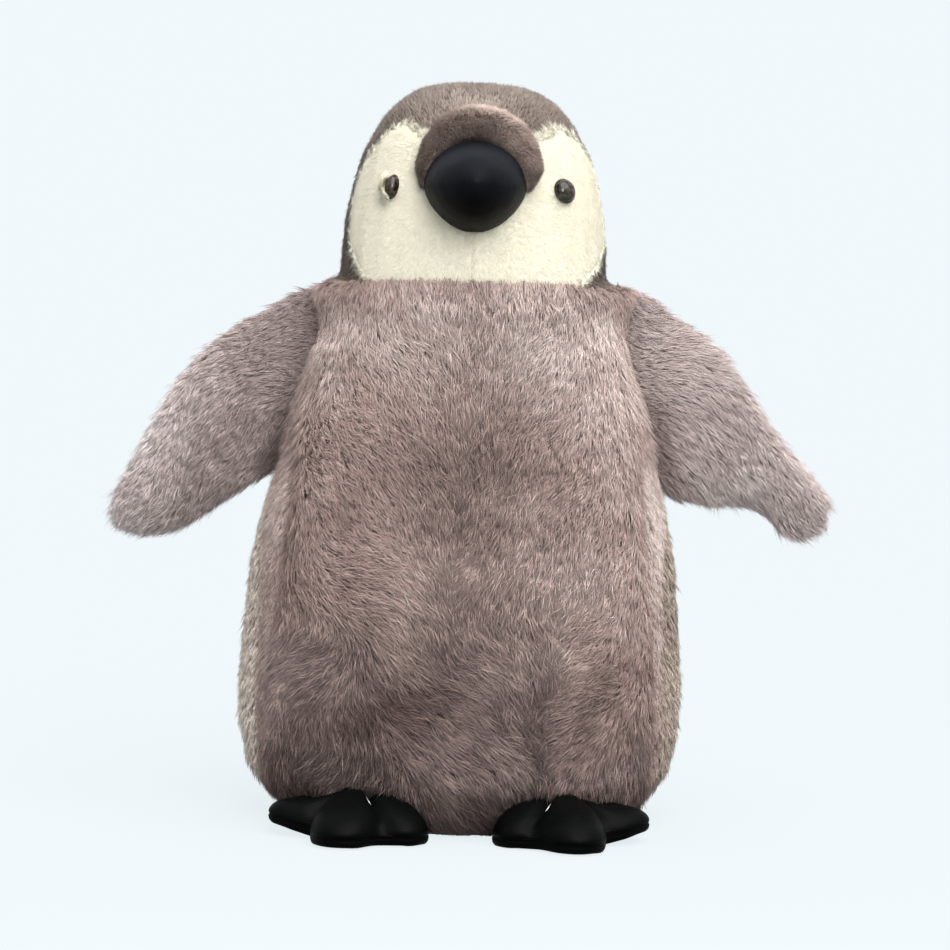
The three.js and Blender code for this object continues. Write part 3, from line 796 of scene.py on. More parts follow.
def chest_tone(p):
    x, z = p[:, 0], p[:, 2]
    clouding = 0.08 * noise(p, 0.045, 11) + 0.08 * noise(p, 0.017, 12) + 0.05 * noise(p, 0.008, 13)
    tone = 0.49 + (1.0 + 0.9 * smooth(0.2, 0.1, z)) * clouding
    tone -= 0.10 * smooth(NECK - 0.03, NECK, z) * smooth(0.05, 0.085, np.abs(x))
    # Painted light and shade in patches.
    for amount, across, up, wide, tall in LIT_AND_SHADED_PATCHES:
        tone += amount * near(p * ACROSS_AND_UP, (across, 0, up), (wide, 1, tall))
    # Painted light: paler towards the penguin's left, where the key light falls, and paler near the top.
    # Painted shade: darker over the lower belly.
    tone += 0.05 * np.tanh(x / 0.08) + 0.16 * smooth(0.25, 0.35, z) - 0.20 * smooth(0.21, 0.08, z)
    # Painted shade: a dark line along the neck seam under the head, and darker hair in the groove beside each
    # flank strip.
    neck_shadow_line = np.exp(-(((z - NECK) / (3 * MM)) ** 2))
    tone += 0.20 * strip_share(p) - 0.22 * strip_groove(p) - 0.14 * neck_shadow_line
    # Painted shade: darker low down near the floor, and along the shoulder seams.
    return tone - 0.42 * smooth(0.055, 0.008, z) - armpit_shade(p)


def back_comb(p):
    """The back's hair lies down and a little to the sides, and straight down on the flanks."""
    spread = np.tanh(p[:, 0] / 0.09) * 22
    swirl = noise(p, 0.07, 21) * 26 + noise(p, 0.028, 22) * 12
    amount = smooth(-0.05, 0.03, p[:, 1])
    return heading_vector((spread + swirl) * amount + noise(p, 0.03, 23) * 5)


def back_tone(p):
    tone = 0.52 + 0.09 * noise(p, 0.05, 24) + 0.06 * noise(p, 0.014, 25) - 0.19 * np.tanh(p[:, 0] / 0.05)
    # Painted shade: darker low down near the floor.
    return tone - 0.2 * smooth(0.05, 0.008, p[:, 2])


def cap_comb(p):
    """From the brow up and back over the crown, then down the back and sides of the head."""
    up = smooth(NECK + 0.05, NECK + 0.12, p[:, 2]) * smooth(0.06, -0.05, p[:, 1])
    back = np.stack([0.35 * p[:, 0] / 0.08, np.ones(len(p)), 0.9 * np.ones(len(p))], axis=1)
    down = np.stack([0.15 * np.sign(p[:, 0]), 0.35 * np.ones(len(p)), -np.ones(len(p))], axis=1)
    return down * (1 - up[:, None]) + back * up[:, None]


def cap_tone(p):
    crown = smooth(NECK + 0.085, NECK + 0.135, p[:, 2]) * smooth(0.09, 0.02, np.abs(p[:, 0]))
    return 0.36 + 0.24 * crown + 0.11 * noise(p, 0.02, 31) + 0.09 * noise(p, 0.007, 32)


BEAK_LOW, BEAK_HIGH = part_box("beak_cover")
BEAK_MIDDLE = np.array((BEAK_LOW + BEAK_HIGH) / 2)


def face_comb(p):
    """The fleece is brushed outwards from the beak, and down at the chin."""
    away = (p - BEAK_MIDDLE) * ACROSS_AND_UP
    return unit(away) + DOWN * 0.35


def face_tone(p):
    """A soft clouding, warmer along the sewn line that runs down the chin."""
    seam = np.exp(-((p[:, 0] / (1.3 * MM)) ** 2)) * (0.7 + 0.3 * noise(p, 0.004, 43))
    return 0.58 + 0.08 * noise(p, 0.03, 41) - 0.30 * seam


EYE_SHIFT = 2.4 * MM  # how far both eyes are sewn towards the penguin's left of the CAD eyes


def eye_place(side):
    """The front of the eye's dome and the way that it faces."""
    dome = Form.of_mesh(NODES[f"eye_{side}"].data).points
    washer = Form.of_mesh(NODES[f"eye_washer_{side}"].data).points.mean(axis=0)
    apex = dome[np.linalg.norm(dome - washer, axis=1).argmax()]
    axis = unit(apex - washer)
    across = unit(np.cross(axis, [0.0, 0.0, 1.0]))
    return apex + EYE_SHIFT * np.sign(across[0]) * across, axis


EYE_CLEARING = 7.4 * MM  # how far round each eye no fleece grows
LID_TUFTS = 420
LID_START, LID_END = 5.0 * MM, 10.0 * MM  # how far from the eye's axis the lid's fleece grows


def away_from_eye(p, side):
    """How far each place is from the eye's own axis, as a vector across it."""
    apex, axis = eye_place(side)
    return p - apex - ((p - apex) @ axis)[:, None] * axis


def clear_of_eyes(p):
    """Which places are outside the fleece's two openings for the eyes."""
    left, right = (np.linalg.norm(away_from_eye(p, side), axis=1) for side in SIDES)
    return np.minimum(left, right) > EYE_CLEARING


def grow_lid():
    """Fleece at the outer side of the penguin's right eye, which strays over the eye."""
    rng = np.random.default_rng(500)
    roots, normals = parts["face_panel_right"].scatter(60000, rng)
    away = away_from_eye(roots, "right")
    distance = np.linalg.norm(away, axis=1)
    outer = away[:, 0] < -0.55 * distance
    chosen = np.flatnonzero(outer & (distance > LID_START) & (distance < LID_END))[:LID_TUFTS]
    comb = np.tile([1.0, 0.0, -0.1], (len(chosen), 1))
    tone = face_tone(roots[chosen])
    obj = grow("eye_lid_fleece", roots[chosen], normals[chosen], comb, tone, LID, rng, fleece_pile)
    piece(obj, "torso", "face_fleece")


def grow_panel(
    name, bands, seed, pile, comb, tone, material, slot, seam_cut=0.35, seam_width=6 * MM, keep=None, cut=None
):
    """Pile on one panel of the trunk, in bands from the bottom to the top, cut shorter along its seams."""
    rng = np.random.default_rng(seed)
    roots, normals = even_roots(parts[name], bands * pile.band() // pile.per_tuft, rng)
    if keep is not None:
        kept = keep(roots)
        roots, normals = roots[kept], normals[kept]
    order = np.argsort(roots[:, 2])
    for n, chosen in enumerate(np.array_split(order, bands)):
        place, normal = roots[chosen], normals[chosen]
        gap = np.exp(-((distance_to(seams, place) / seam_width) ** 2))
        scale = (1.0 - seam_cut * gap) * (1.0 + 0.12 * noise(place, 0.02, seed))
        scale = scale if cut is None else scale * cut(place)
        shade = tone(place) - 0.25 * seam_cut * gap
        obj = grow(f"{name}_pile_{n + 1}", place, normal, comb(place), shade, pile, rng, material, scale)
        piece(obj, "torso", slot)


FRINGE_TUFTS = 700
FRINGE_TRIES = 60 * FRINGE_TUFTS
FRINGE_WIDTH = 1.6 * MM
FRINGE_SCALE = {"left": 1.1, "right": 0.9}


def grow_fringe(side, seed):
    """Pointed tufts of fleece along its edge, which stray over the cap's short hair."""
    face, cap = f"face_panel_{side}", f"head_cap_{side}"
    edge = seam_tree(trunk, trunk_owner, {frozenset((PANELS.index(face), PANELS.index(cap)))})
    rng = np.random.default_rng(seed)
    roots, normals = parts[face].scatter(FRINGE_TRIES, rng)
    found = [edge.find(p) for p in roots]
    close = np.array([distance for _, _, distance in found]) < FRINGE_WIDTH
    nearest = np.array([place for place, _, _ in found])
    roots, normals, nearest = (v[close][:FRINGE_TUFTS] for v in (roots, normals, nearest))
    comb = unit(nearest - roots) + 0.6 * face_comb(roots)
    scale = FRINGE_SCALE[side] * (0.75 + 0.5 * rng.random(len(roots)))
    tone = face_tone(roots) + 0.1
    obj = grow(f"{face}_fringe", roots, normals, comb, tone, FRINGE, rng, fleece_pile, scale)
    piece(obj, "torso", "face_fleece")


for side in SIDES:
    seed = 100 if side == "left" else 200
    belly, back, face, cap = (name for name in PANELS if name.endswith(side))
    grow_panel(belly, 4, seed, LONG, chest_comb, chest_tone, body_pile, "body_fur", 0.12, cut=belly_scale)
    grow_panel(back, 2, seed + 1, SIDE, back_comb, back_tone, back_pile, "back_fur", cut=shoulder_scale)
    grow_panel(cap, 1, seed + 2, CAP, cap_comb, cap_tone, cap_pile, "cap_fur", 0.15, 3 * MM)
    fleece = (FLEECE, face_comb, face_tone, fleece_pile, "face_fleece", 0.6, 1.6 * MM)
    grow_panel(face, 1, seed + 3, *fleece, keep=clear_of_eyes)
    grow_fringe(side, seed + 4)
grow_lid()

# ---- flippers

FLIPPER_INSET = 4.2 * MM
FLIPPER_FILL_DEPTH = 2.6 * MM
FLIPPER_RISE = {"left": 8 * MM, "right": 5 * MM}  # how much fuller each flipper is at the top of its root
ROOT_REACH = 11 * MM  # how far the cloth goes on past the CAD root, to its seam on the body


def flipper_form(side):
    names = [f"flipper_front_{side}", f"flipper_back_{side}"]
    form = Form.of_nodes(names + [f"flipper_stuffing_{side}"], 2.6 * MM, 5)
    depth = room_inside(form, FLIPPER_INSET, 0.3)
    middle, _, out = flipper_frame(side)
    distance = (form.points - middle) @ out
    depth *= smooth(-5 * MM, 40 * MM, distance)
    form = form.moved(-form.spread(depth, 8)).relaxed(2)
    top = near(form.points, (SIDES[side] * 0.112, 0.0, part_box(names[0])[1].z), (0.034, 0.08, 0.028))
    form = Form(form.points + np.outer(top, [0.0, 0.0, FLIPPER_RISE[side]]), form.faces)
    distance = (form.points - middle) @ out
    pull = ROOT_REACH * (1.0 - smooth(0.0, 24 * MM, distance - distance.min()))
    return Form(form.points - out * pull[:, None], form.faces)


def flipper_comb(side, p):
    """Out from the shoulder, then towards the tip, and more downwards at the flipper's lower edge."""
    middle, up, out = flipper_frame(side)
    low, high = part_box(f"flipper_front_{side}")
    tip = np.array([SIDES[side] * max(abs(low.x), abs(high.x)) * 0.97, 0.0, low.z + 0.016])
    reach = np.clip(((p - middle) @ out) / 0.1, 0.0, 1.0)[:, None]
    first = unit(out * 0.9 - np.array([0.0, 0.0, 0.35]))
    way = first * (1 - reach) + unit(tip - p) * reach
    drop = smooth(0.02, -0.05, (p - middle) @ up)[:, None]
    way = way * (1 - 0.45 * drop) + DOWN * 0.45 * drop
    turn = np.radians(noise(p, 0.035, 51) * 22 + noise(p, 0.016, 52) * 12)
    return way + np.cross(way, np.array([0.0, 1.0, 0.0])) * np.tan(turn)[:, None]


def flipper_tone(p):
    # Paler on the penguin's left, where the key light falls: painted light.
    return 0.52 + 0.10 * noise(p, 0.03, 53) + 0.08 * noise(p, 0.012, 54) + 0.07 * np.sign(p[:, 0])


for side, s in SIDES.items():
    form = flipper_form(side)
    names = [f"flipper_front_{side}", f"flipper_back_{side}"]
    owner = owners(form.centres, names)
    middle, _, out = flipper_frame(side)
    body = f"{side}_flipper"
    filling(f"flipper_fill_{side}", form, FLIPPER_FILL_DEPTH, body, f"flipper_stuffing_{side}")
    for n, name in enumerate(names):
        part = form.only(owner == n)
        piece(shell(f"{name}_cloth", part, 1.0 * MM, mauve_backing), body, "flipper_fur", name, fill=0.8)
        rng = np.random.default_rng(300 + 10 * n + int(s))
        roots, normals = even_roots(part, FLIPPER.band() // FLIPPER.per_tuft, rng)
        reach = (roots - middle) @ out
        scale = 0.62 + 0.38 * smooth(-0.004, 0.025, reach)
        scale -= 0.28 * near(roots, (s * 0.116, 0.0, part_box(name)[1].z), (0.04, 0.08, 0.035))
        tip_tone = (0.40 if side == "right" else 0.0) * smooth(0.03, 0.12, reach)
        shade = flipper_tone(roots) + tip_tone - armpit_shade(roots)
        comb = flipper_comb(side, roots)
        obj = grow(f"{name}_pile", roots, normals, comb, shade, FLIPPER, rng, flipper_pile, scale)
        piece(obj, body, "flipper_fur")

# ---- beak and brow


def black_material(name, dark, light, low, high):
    """Black satin cloth with painted light and shade between two heights: a little bluer and paler on top,
    darker underneath.
    """
    material, tree, shader = new_material(name, 0.45, specular=0.03)
    threads = weave(tree)
    height = add_node(tree, "SeparateXYZ", {"Vector": object_place(tree)}).outputs["Z"]
    # Painted light and shade: paler and bluer higher up, darker lower down.
    share = add_node(tree, "MapRange", {"Value": height, "From Min": low, "From Max": high})
    colour = ramp(tree, share.outputs["Result"], (0.2, srgb(*dark)), (0.75, srgb(*light)))
    clouds = ramp(tree, noise_node(tree, 60.0, 5.0), (0.3, grey(0.7)), (0.7, grey(1.0)))
    shade = ramp(tree, threads, (0.0, grey(0.75)), (1.0, grey(1.0)))
    painted(tree, shader, multiplied(tree, multiplied(tree, colour, clouds), shade))
    bump(tree, shader, threads, 0.2, 0.15 * MM)
    return material


beak_cloth = black_material("beak_satin", (1, 1, 1), (20, 23, 28), BEAK_LOW.z, BEAK_HIGH.z)
foot_cloth = black_material("foot_satin", (1, 1, 1), (7, 8, 8), 0.0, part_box("foot_top_left")[1].z)
BEAK_ROOT = -0.066  # how far forward the beak's hidden root is
BEAK_SURFACE = -0.086  # how far forward the beak leaves the face
BEAK_RING = 64
BEAK_STEPS = 40
BEAK_FILL_DEPTH = 1.6 * MM


def beak_rings():
    """Rings from inside the head to the tip, with a seam along the underside and gathers at the root."""
    tip = BEAK_LOW.y
    half_high = (BEAK_HIGH.z - BEAK_LOW.z) / 2
    angles = np.linspace(0, 2 * math.pi, BEAK_RING, endpoint=False)
    across, up = np.cos(angles), np.sin(angles)
    seam = np.exp(-(((angles - 1.5 * math.pi) / 0.05) ** 2))
    pointed = 1.0 - 0.18 * np.maximum(-up, 0.0) ** 1.2
    forward = BEAK_SURFACE - (BEAK_SURFACE - tip) * np.linspace(0, 1, BEAK_STEPS) ** 0.8
    rings = []
    for y in np.concatenate([[BEAK_ROOT], forward]):
        share = max(0.0, (BEAK_SURFACE - y) / (BEAK_SURFACE - tip))
        width = max(1.0 - share**1.75, 1e-4) ** 0.6
        gathers = 0.003 * (np.sin(23 * angles + 1.0) + np.sin(31 * angles)) * (1 - smooth(0.0, 0.35, share))
        size = width * (1.0 - 0.012 * seam + gathers)
        x = BEAK_HIGH.x * 1.02 * size * pointed * across
        height = BEAK_MIDDLE[2] - 0.002 * share + half_high * size * up
        rings.append(np.stack([x, np.full(BEAK_RING, y), height], axis=1))
    return np.array(rings)


def loft(rings):
    """Triangles through rings that all have the same number of points, closed at both ends."""
    rows, columns = rings.shape[:2]
    points = np.concatenate([rings.reshape(-1, 3), rings[:1].mean(axis=1), rings[-1:].mean(axis=1)])
    j, i = np.meshgrid(np.arange(rows - 1), np.arange(columns), indexing="ij")
    a, b = (j * columns + i).ravel(), (j * columns + (i + 1) % columns).ravel()
    lower, upper = np.stack([a, b, b + columns], axis=1), np.stack([a, b + columns, a + columns], axis=1)
    i = np.arange(columns)
    k, last = (i + 1) % columns, (rows - 1) * columns
    start = np.stack([k, i, np.full(columns, rows * columns)], axis=1)
    end = np.stack([last + i, last + k, np.full(columns, rows * columns + 1)], axis=1)
    return Form(points, np.concatenate([lower, upper, start, end]))


def build_beak():
    beak = loft(beak_rings())
    dents = noise(beak.points, 0.013, 71) * 0.35 * MM + noise(beak.points, 0.006, 72) * 0.12 * MM
    beak = beak.moved(dents)
    obj = mesh_object("beak", beak.points, beak.faces, beak_cloth)
    piece(obj, "torso", "smooth_cloth", "beak_cover", fill=0.95)
    filling("beak_fill", beak, BEAK_FILL_DEPTH, "torso", "beak_stuffing")


build_beak()


def round_beak(p):
    """How far out a point is from the beak's middle line, with 1 on the beak's own edge."""
    half_wide, half_high = BEAK_HIGH.x, (BEAK_HIGH.z - BEAK_LOW.z) / 2
    return np.hypot(p[:, 0] / half_wide, (p[:, 2] - BEAK_MIDDLE[2]) / half_high)


def brow_form():
    """The brow's cloth, set in by its pile's height, but snug on the beak and fuller at its left."""
    form = Form.of_nodes(["brow_cover", "brow_stuffing"], 2.0 * MM, 5)
    depth = 2.4 * MM * smooth(1.02, 1.3, round_beak(form.points))
    form = form.moved(-form.spread(depth, 3))
    points = form.points.copy()
    points[:, 0] += 5.0 * MM * smooth(0.0, 0.03, points[:, 0]) * smooth(1.03, 1.22, round_beak(points))
    return Form(points, form.faces)


brow = brow_form()
brow_cloth = mesh_object("brow_cloth", brow.points, brow.faces, brown_backing)
piece(brow_cloth, "torso", "brow_fur", "brow_cover", fill=0.9)


def grow_brow():
    rng = np.random.default_rng(400)
    roots, normals = even_roots(brow, VELVET.band() // VELVET.per_tuft, rng)
    keep = normals[:, 1] < 0.75
    roots, normals = roots[keep], normals[keep]
    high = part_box("brow_cover")[1]
    top = smooth(-0.5, 1.0, normals[:, 2])
    across = np.abs(roots[:, 0]) / high.x
    ones = np.ones(len(roots))
    comb = unit(np.stack([0.5 * roots[:, 0] / high.x, -0.15 * ones, -ones], axis=1))
    # Painted light: paler where the brow faces up, less so towards its ends.
    tone = 0.26 + 0.50 * top * (1 - 0.4 * across)
    tone = tone + 0.10 * noise(roots, 0.012, 61) + 0.09 * noise(roots, 0.004, 62)
    # Painted light: paler towards the penguin's left, where the key light falls.
    tone += 0.14 * np.tanh(roots[:, 0] / 0.02)
    scale = 0.4 + 0.6 * smooth(1.02, 1.25, round_beak(roots))
    obj = grow("brow_pile", roots, normals, comb, tone, VELVET, rng, brow_pile, scale)
    piece(obj, "torso", "brow_fur")


grow_brow()

# ---- feet

FOOT_RING = 120
FOOT_STEPS = 22
FOOT_RISE = 3.5 * MM  # how far the stuffed top stands above the CAD foot
FOOT_FLOOR = 0.4 * MM
INNER_REACH = {"left": 2.5 * MM, "right": 6.0 * MM}  # how much further in the inner toe is stuffed
OUTER_REACH = 2.0 * MM  # how much more pointed the outer toe is
TOE_LIFT = 8.0 * MM  # how far the outer toe's tip is off the floor
CREASE_WIDTH = 0.10  # radians of each crease between two toes
CREASE_DIP = 0.28  # how deep it is, as a share of the foot's height
FOOT_FAR = 0.15  # further from the ankle than any toe
FOOT_FILL_DEPTH = 2.2 * MM
PUFF_FRAMES = 20


def lobe(angles, middle, width):
    """1 at the middle angle, and less and less on both sides of it."""
    return np.exp(-((np.angle(np.exp(1j * (angles - middle))) / width) ** 2))


def foot_outline(side):
    """How far the foot reaches from its ankle all round, where its toes part, and where its outer toe is."""
    tree, _ = surface_tree([f"foot_top_{side}", f"foot_sole_{side}"])
    ankle = Vector(JOINTS[f"{side}_foot_flex"]["pos_m"])
    ankle.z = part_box(f"foot_sole_{side}")[1].z * 0.7
    reach = np.empty(FOOT_RING)
    angles = np.linspace(0, 2 * math.pi, FOOT_RING, endpoint=False)
    for n, angle in enumerate(angles):
        way = Vector((SIDES[side] * math.cos(angle), math.sin(angle), 0.0))
        reach[n] = FOOT_FAR - tree.ray_cast(ankle + way * FOOT_FAR, -way)[3]
    for _ in range(3):
        reach = (np.roll(reach, 1) + 2 * reach + np.roll(reach, -1)) / 4
    before, after = np.roll(reach, 1), np.roll(reach, -1)
    partings = angles[(reach < before) & (reach <= after) & (np.sin(angles) < -0.2)]
    peaks = angles[(reach > before) & (reach >= after)]
    outer = peaks[np.cos(peaks).argmax()]
    inner = lobe(angles, 1.22 * math.pi, 0.45)
    reach += 1.5 * MM + INNER_REACH[side] * inner + OUTER_REACH * lobe(angles, outer, 0.14)
    return np.array(ankle), angles, reach, partings, outer


def foot_form(side):
    """A stuffed foot with a flat sole, a sewn edge and three toes, and which of its faces are the top's."""
    ankle, angles, reach, partings, outer_toe = foot_outline(side)
    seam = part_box(f"foot_sole_{side}")[1].z
    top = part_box(f"foot_top_{side}")[1].z + FOOT_RISE
    outer = lobe(angles, outer_toe, 0.45)
    crease = sum(lobe(angles, parting, CREASE_WIDTH) for parting in partings)
    way = np.stack([SIDES[side] * np.cos(angles), np.sin(angles)], axis=1)
    profile = [(wide, FOOT_FLOOR) for wide in (0.3, 0.6, 0.82, 0.92)]
    edge = ((0.97, 0.12), (0.992, 0.35), (1.0, 0.7), (0.985, 0.95), (0.993, 1.0))
    profile += [(wide, tall * seam) for wide, tall in edge]
    sole = len(profile) - 1
    for turn in np.linspace(0.06, 0.94, FOOT_STEPS) * math.pi / 2:
        profile.append((math.cos(turn) ** 1.2, seam + (top - seam) * math.sin(turn)))
    rings = []
    for n, (wide, tall) in enumerate(profile):
        dented = crease * (n > sole)
        dip = CREASE_DIP * dented * smooth(0.08, 0.4, wide)
        height = np.where(tall > seam, seam + (tall - seam) * (1.0 - dip) * (1.0 - 0.3 * outer), tall)
        height = height + TOE_LIFT * outer * smooth(0.35, 1.0, wide)
        pinched = reach * wide * (1.0 - 0.05 * dented)
        rings.append(np.column_stack([ankle[:2] + way * pinched[:, None], height]))
    form = loft(np.array(rings))
    if SIDES[side] < 0:
        form = Form(form.points, form.faces[:, ::-1])
    ring = form.faces.min(axis=1) // FOOT_RING
    last = form.faces.max(axis=1)
    sole_centre, top_centre = len(form.points) - 2, len(form.points) - 1
    return form, ((ring >= sole) & (last != sole_centre)) | (last == top_centre)


def puffed(form, pressure, most):
    """The form after its stuffing has pressed it out, with no point moved further than most."""
    obj = mesh_object("puff", form.points, form.faces, foot_cloth)
    cloth = obj.modifiers.new("puff", "CLOTH")
    cloth.settings.use_pressure = True
    cloth.settings.uniform_pressure_force = pressure
    cloth.settings.effector_weights.gravity = 0.0
    cloth.point_cache.frame_end = PUFF_FRAMES
    for number in range(1, PUFF_FRAMES + 1):
        bpy.context.scene.frame_set(number)
    moved = Form.of_mesh(evaluated(obj)).points - form.points
    bpy.context.scene.frame_set(1)
    length = np.linalg.norm(moved, axis=1, keepdims=True)
    share = np.minimum(1.0, most / np.maximum(length, 1e-9))
    return Form(form.points + moved * share, form.faces)


def foot_piece(side):
    form, is_top = foot_form(side)
    form = puffed(form, 2.0, 0.7 * MM)
    form = form.moved(noise(form.points, 0.011, 81) * 0.5 * MM)
    form = Form(np.maximum(form.points, [-1.0, -1.0, FOOT_FLOOR]), form.faces)
    body = f"{side}_foot"
    filling(f"foot_fill_{side}", form, FOOT_FILL_DEPTH, body, f"foot_stuffing_{side}")
    for part, chosen in (("top", is_top), ("sole", ~is_top)):
        obj = shell(f"foot_{part}_{side}_cloth", form.only(chosen), 1.2 * MM, foot_cloth)
        piece(obj, body, "smooth_cloth", f"foot_{part}_{side}", fill=0.85)


for side in SIDES:
    foot_piece(side)

# ---- kept CAD nodes' looks


def dress(names, material):
    for name in names:
        slots = NODES[name].material_slots
        if not slots:
            NODES[name].data.materials.append(material)
        for slot in slots:
            slot.material = material


def eye_material():
    """Dark brown glossy plastic, moulded with a faint mottle under its surface."""
    material, tree, shader = new_material("eye_gloss", 0.08, specular=0.3)
    clouds = noise_node(tree, 420.0, 4.0)
    painted(tree, shader, ramp(tree, clouds, (0.4, srgb(12, 10, 6)), (0.75, srgb(64, 56, 40))))
    return material


EYE_RADIUS, EYE_HEIGHT = 9.0 * MM, 5.5 * MM
EYE_SINK = {"left": -0.4 * MM, "right": 0.8 * MM}
EYE_WIDTH = {"left": 1.0, "right": 0.62}  # the fleece draws the right eye's edges in
EYE_STEPS = 14
EYE_RING = 40


def build_eye(side, material):
    """A domed button with a narrow rim, set down into the fleece."""
    apex, axis = eye_place(side)
    sideways = unit(np.cross(axis, [0.0, 0.0, 1.0]))
    upward = np.cross(sideways, axis)
    profile = [(0.4, -8.0), (0.4, -1.2), (0.94, -1.0), (1.0, -0.5), (1.0, 0.0), (0.93, 0.35)]
    profile = [(wide, tall * MM) for wide, tall in profile]
    for turn in np.linspace(0.12, 0.49, EYE_STEPS) * math.pi:
        profile.append((0.9 * math.cos(turn), EYE_HEIGHT * math.sin(turn)))
    base = apex - axis * (EYE_HEIGHT + EYE_SINK[side])
    angles = np.linspace(0, 2 * math.pi, EYE_RING, endpoint=False)
    way = EYE_WIDTH[side] * np.cos(angles)[:, None] * sideways + np.sin(angles)[:, None] * upward
    eye = loft(np.array([base + axis * tall + way * EYE_RADIUS * wide for wide, tall in profile]))
    obj = mesh_object(f"eye_{side}_button", eye.points, eye.faces, material)
    piece(obj, "torso", "eye_plastic", f"eye_{side}")


def washer_material():
    material, tree, shader = new_material("washer_plastic", 0.45)
    clouds = noise_node(tree, 90.0, 3.0)
    painted(tree, shader, ramp(tree, clouds, (0.3, srgb(222, 221, 216)), (0.7, srgb(236, 235, 231))))
    return material


eye_gloss = eye_material()
for side in SIDES:
    build_eye(side, eye_gloss)
dress(["torso_stuffing", "head_stuffing", "brow_stuffing"], fibre_fill)
dress(["eye_washer_left", "eye_washer_right"], washer_material())
label_satin = cloth_material("label_satin", (226, 226, 222), (240, 240, 238), 0.5, 0.3)
LABEL_STEPS = 24
LABEL_ROWS = 14


def build_label():
    """A blank satin ribbon folded into a loop, with a soft wave, sewn into the back's middle seam."""
    low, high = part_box("care_label")
    turn = np.linspace(-0.5, 0.5, LABEL_STEPS)
    share = np.abs(2 * turn)
    out = low.y + (high.y - low.y) * (1.0 - share**2.2)
    apart = 1.6 * MM * np.sign(turn) * np.minimum(1.0, (1.0 - share) * 6) * share**0.5
    rows = []
    for z in np.linspace(low.z, high.z, LABEL_ROWS):
        wave = 1.1 * MM * math.sin((z - low.z) * 170) * (out - low.y) / (high.y - low.y)
        rows.append(np.column_stack([apart + wave, out, np.full(LABEL_STEPS, z)]))
    points = np.array(rows).reshape(-1, 3)
    j, i = np.meshgrid(np.arange(LABEL_ROWS - 1), np.arange(LABEL_STEPS - 1), indexing="ij")
    a = (j * LABEL_STEPS + i).ravel()
    faces = np.stack([a, a + 1, a + 1 + LABEL_STEPS, a + LABEL_STEPS], axis=1)
    obj = shell("care_ribbon", Form(points, faces), 0.35 * MM, label_satin)
    piece(obj, "torso", "label_satin", "care_label")


build_label()

# ---- floor, light and camera

BACKDROP = srgb(240, 248, 251)
FILL = 1.75  # strength of the light from straight above, which falls off towards the floor
KEY = 4.0  # strength of the light from above and the viewer's right
FRONT = 15.0  # watts of the soft light in front
FRONT_PLACE, FRONT_AIM = Vector((0.32, -1.45, 0.88)), Vector((0.0, 0.0, 0.28))
FRONT_SIZE = 0.6
KEY_WAY = Vector((-0.55, 0.9, -1.45)).normalized()
FLOOR_GLOW = 0.85  # share of the floor's light that no shadow takes away
FLOOR_SHADE = 0.35  # how pale the floor's own surface is, as a share of the backdrop
CAMERA_PLACE, CAMERA_AIM = Vector((0.005, -1.8, 0.300)), Vector((0.005, 0.0, 0.248))
CAMERA_ROLL = math.radians(1.5)
LENS = 93.4


def floor_material():
    """A floor that looks as pale as what is behind it, and takes only a faint shadow."""
    material, tree, shader = new_material("pale_floor", 1.0, specular=0.0)
    shader.inputs["Base Color"].default_value = tuple(FLOOR_SHADE * c for c in BACKDROP[:3]) + (1.0,)
    lit = FLOOR_SHADE * (FILL * 0.85 - KEY * KEY_WAY.z / math.pi)
    strength = (1.0 - (1.0 - FLOOR_GLOW) * lit) / FLOOR_GLOW
    glow = add_node(tree, "Emission", {"Color": BACKDROP, "Strength": strength})
    share = add_node(tree, "Math", {0: add_node(tree, "LightPath").outputs["Is Camera Ray"], 1: FLOOR_GLOW})
    share.operation = "MULTIPLY"
    mix = add_node(tree, "MixShader", {"Fac": share.outputs[0], 1: shader.outputs[0], 2: glow.outputs[0]})
    tree.links.new(mix.outputs[0], tree.nodes["Material Output"].inputs["Surface"])
    return material


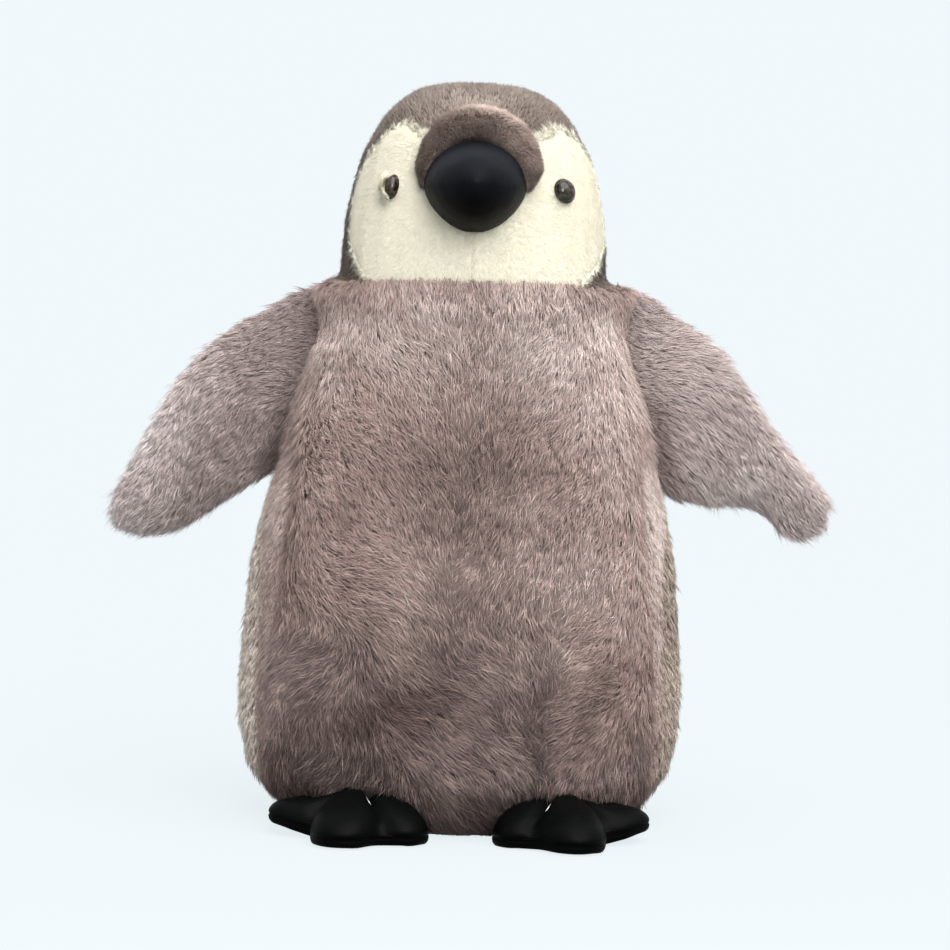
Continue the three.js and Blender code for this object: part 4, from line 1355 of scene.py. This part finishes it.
def build_floor():
    size, drop = 30.0, -0.4 * MM
    corners = [(-size, -size, drop), (size, -size, drop), (size, size, drop), (-size, size, drop)]
    mesh_object("floor", corners, [[0, 1, 2, 3]], floor_material())


def build_world():
    """The backdrop that the camera sees, and the light from all round, which is brightest above."""
    world = bpy.data.worlds.new("studio")
    bpy.context.scene.world = world
    world.use_nodes = True
    tree = world.node_tree
    sky = tree.nodes["Background"]
    sky.inputs["Color"].default_value = BACKDROP
    way = add_node(tree, "TexCoord").outputs["Generated"]
    up = add_node(tree, "SeparateXYZ", {"Vector": way}).outputs["Z"]
    height = add_node(tree, "MapRange", {"Value": up, "From Min": -1.0}).outputs["Result"]
    colour = ramp(tree, height, (0.0, grey(0.42)), (0.5, grey(0.68)), (1.0, srgb(247, 250, 255)))
    fill = add_node(tree, "Background", {"Color": colour, "Strength": FILL})
    seen = add_node(tree, "LightPath").outputs["Is Camera Ray"]
    mix = add_node(tree, "MixShader", {"Fac": seen, 1: fill.outputs[0], 2: sky.outputs[0]})
    tree.links.new(mix.outputs[0], tree.nodes["World Output"].inputs["Surface"])


def towards(way):
    """The turn that makes a light or a camera look this way."""
    return way.to_track_quat("-Z", "Y")


def build_light(name, kind, energy, place, way):
    light = bpy.data.lights.new(name, kind)
    light.energy = energy
    obj = linked(name, light)
    obj.location = place
    obj.rotation_euler = towards(way).to_euler()
    return light


def build_camera():
    camera = bpy.data.cameras.new("camera")
    camera.lens = LENS
    obj = linked("camera", camera)
    look = towards(CAMERA_AIM - CAMERA_PLACE) @ Quaternion((0, 0, 1), CAMERA_ROLL)
    obj.location = CAMERA_PLACE
    obj.rotation_euler = look.to_euler()
    bpy.context.scene.camera = obj
    bpy.context.scene.view_settings.view_transform = "Standard"


build_floor()
build_world()
key = build_light("key", "SUN", KEY, (0.0, 0.0, 0.0), KEY_WAY)
key.angle = math.radians(60)
key.color = (1.0, 0.975, 0.94)
front = build_light("front", "AREA", FRONT, FRONT_PLACE, FRONT_AIM - FRONT_PLACE)
front.size = FRONT_SIZE
build_camera()
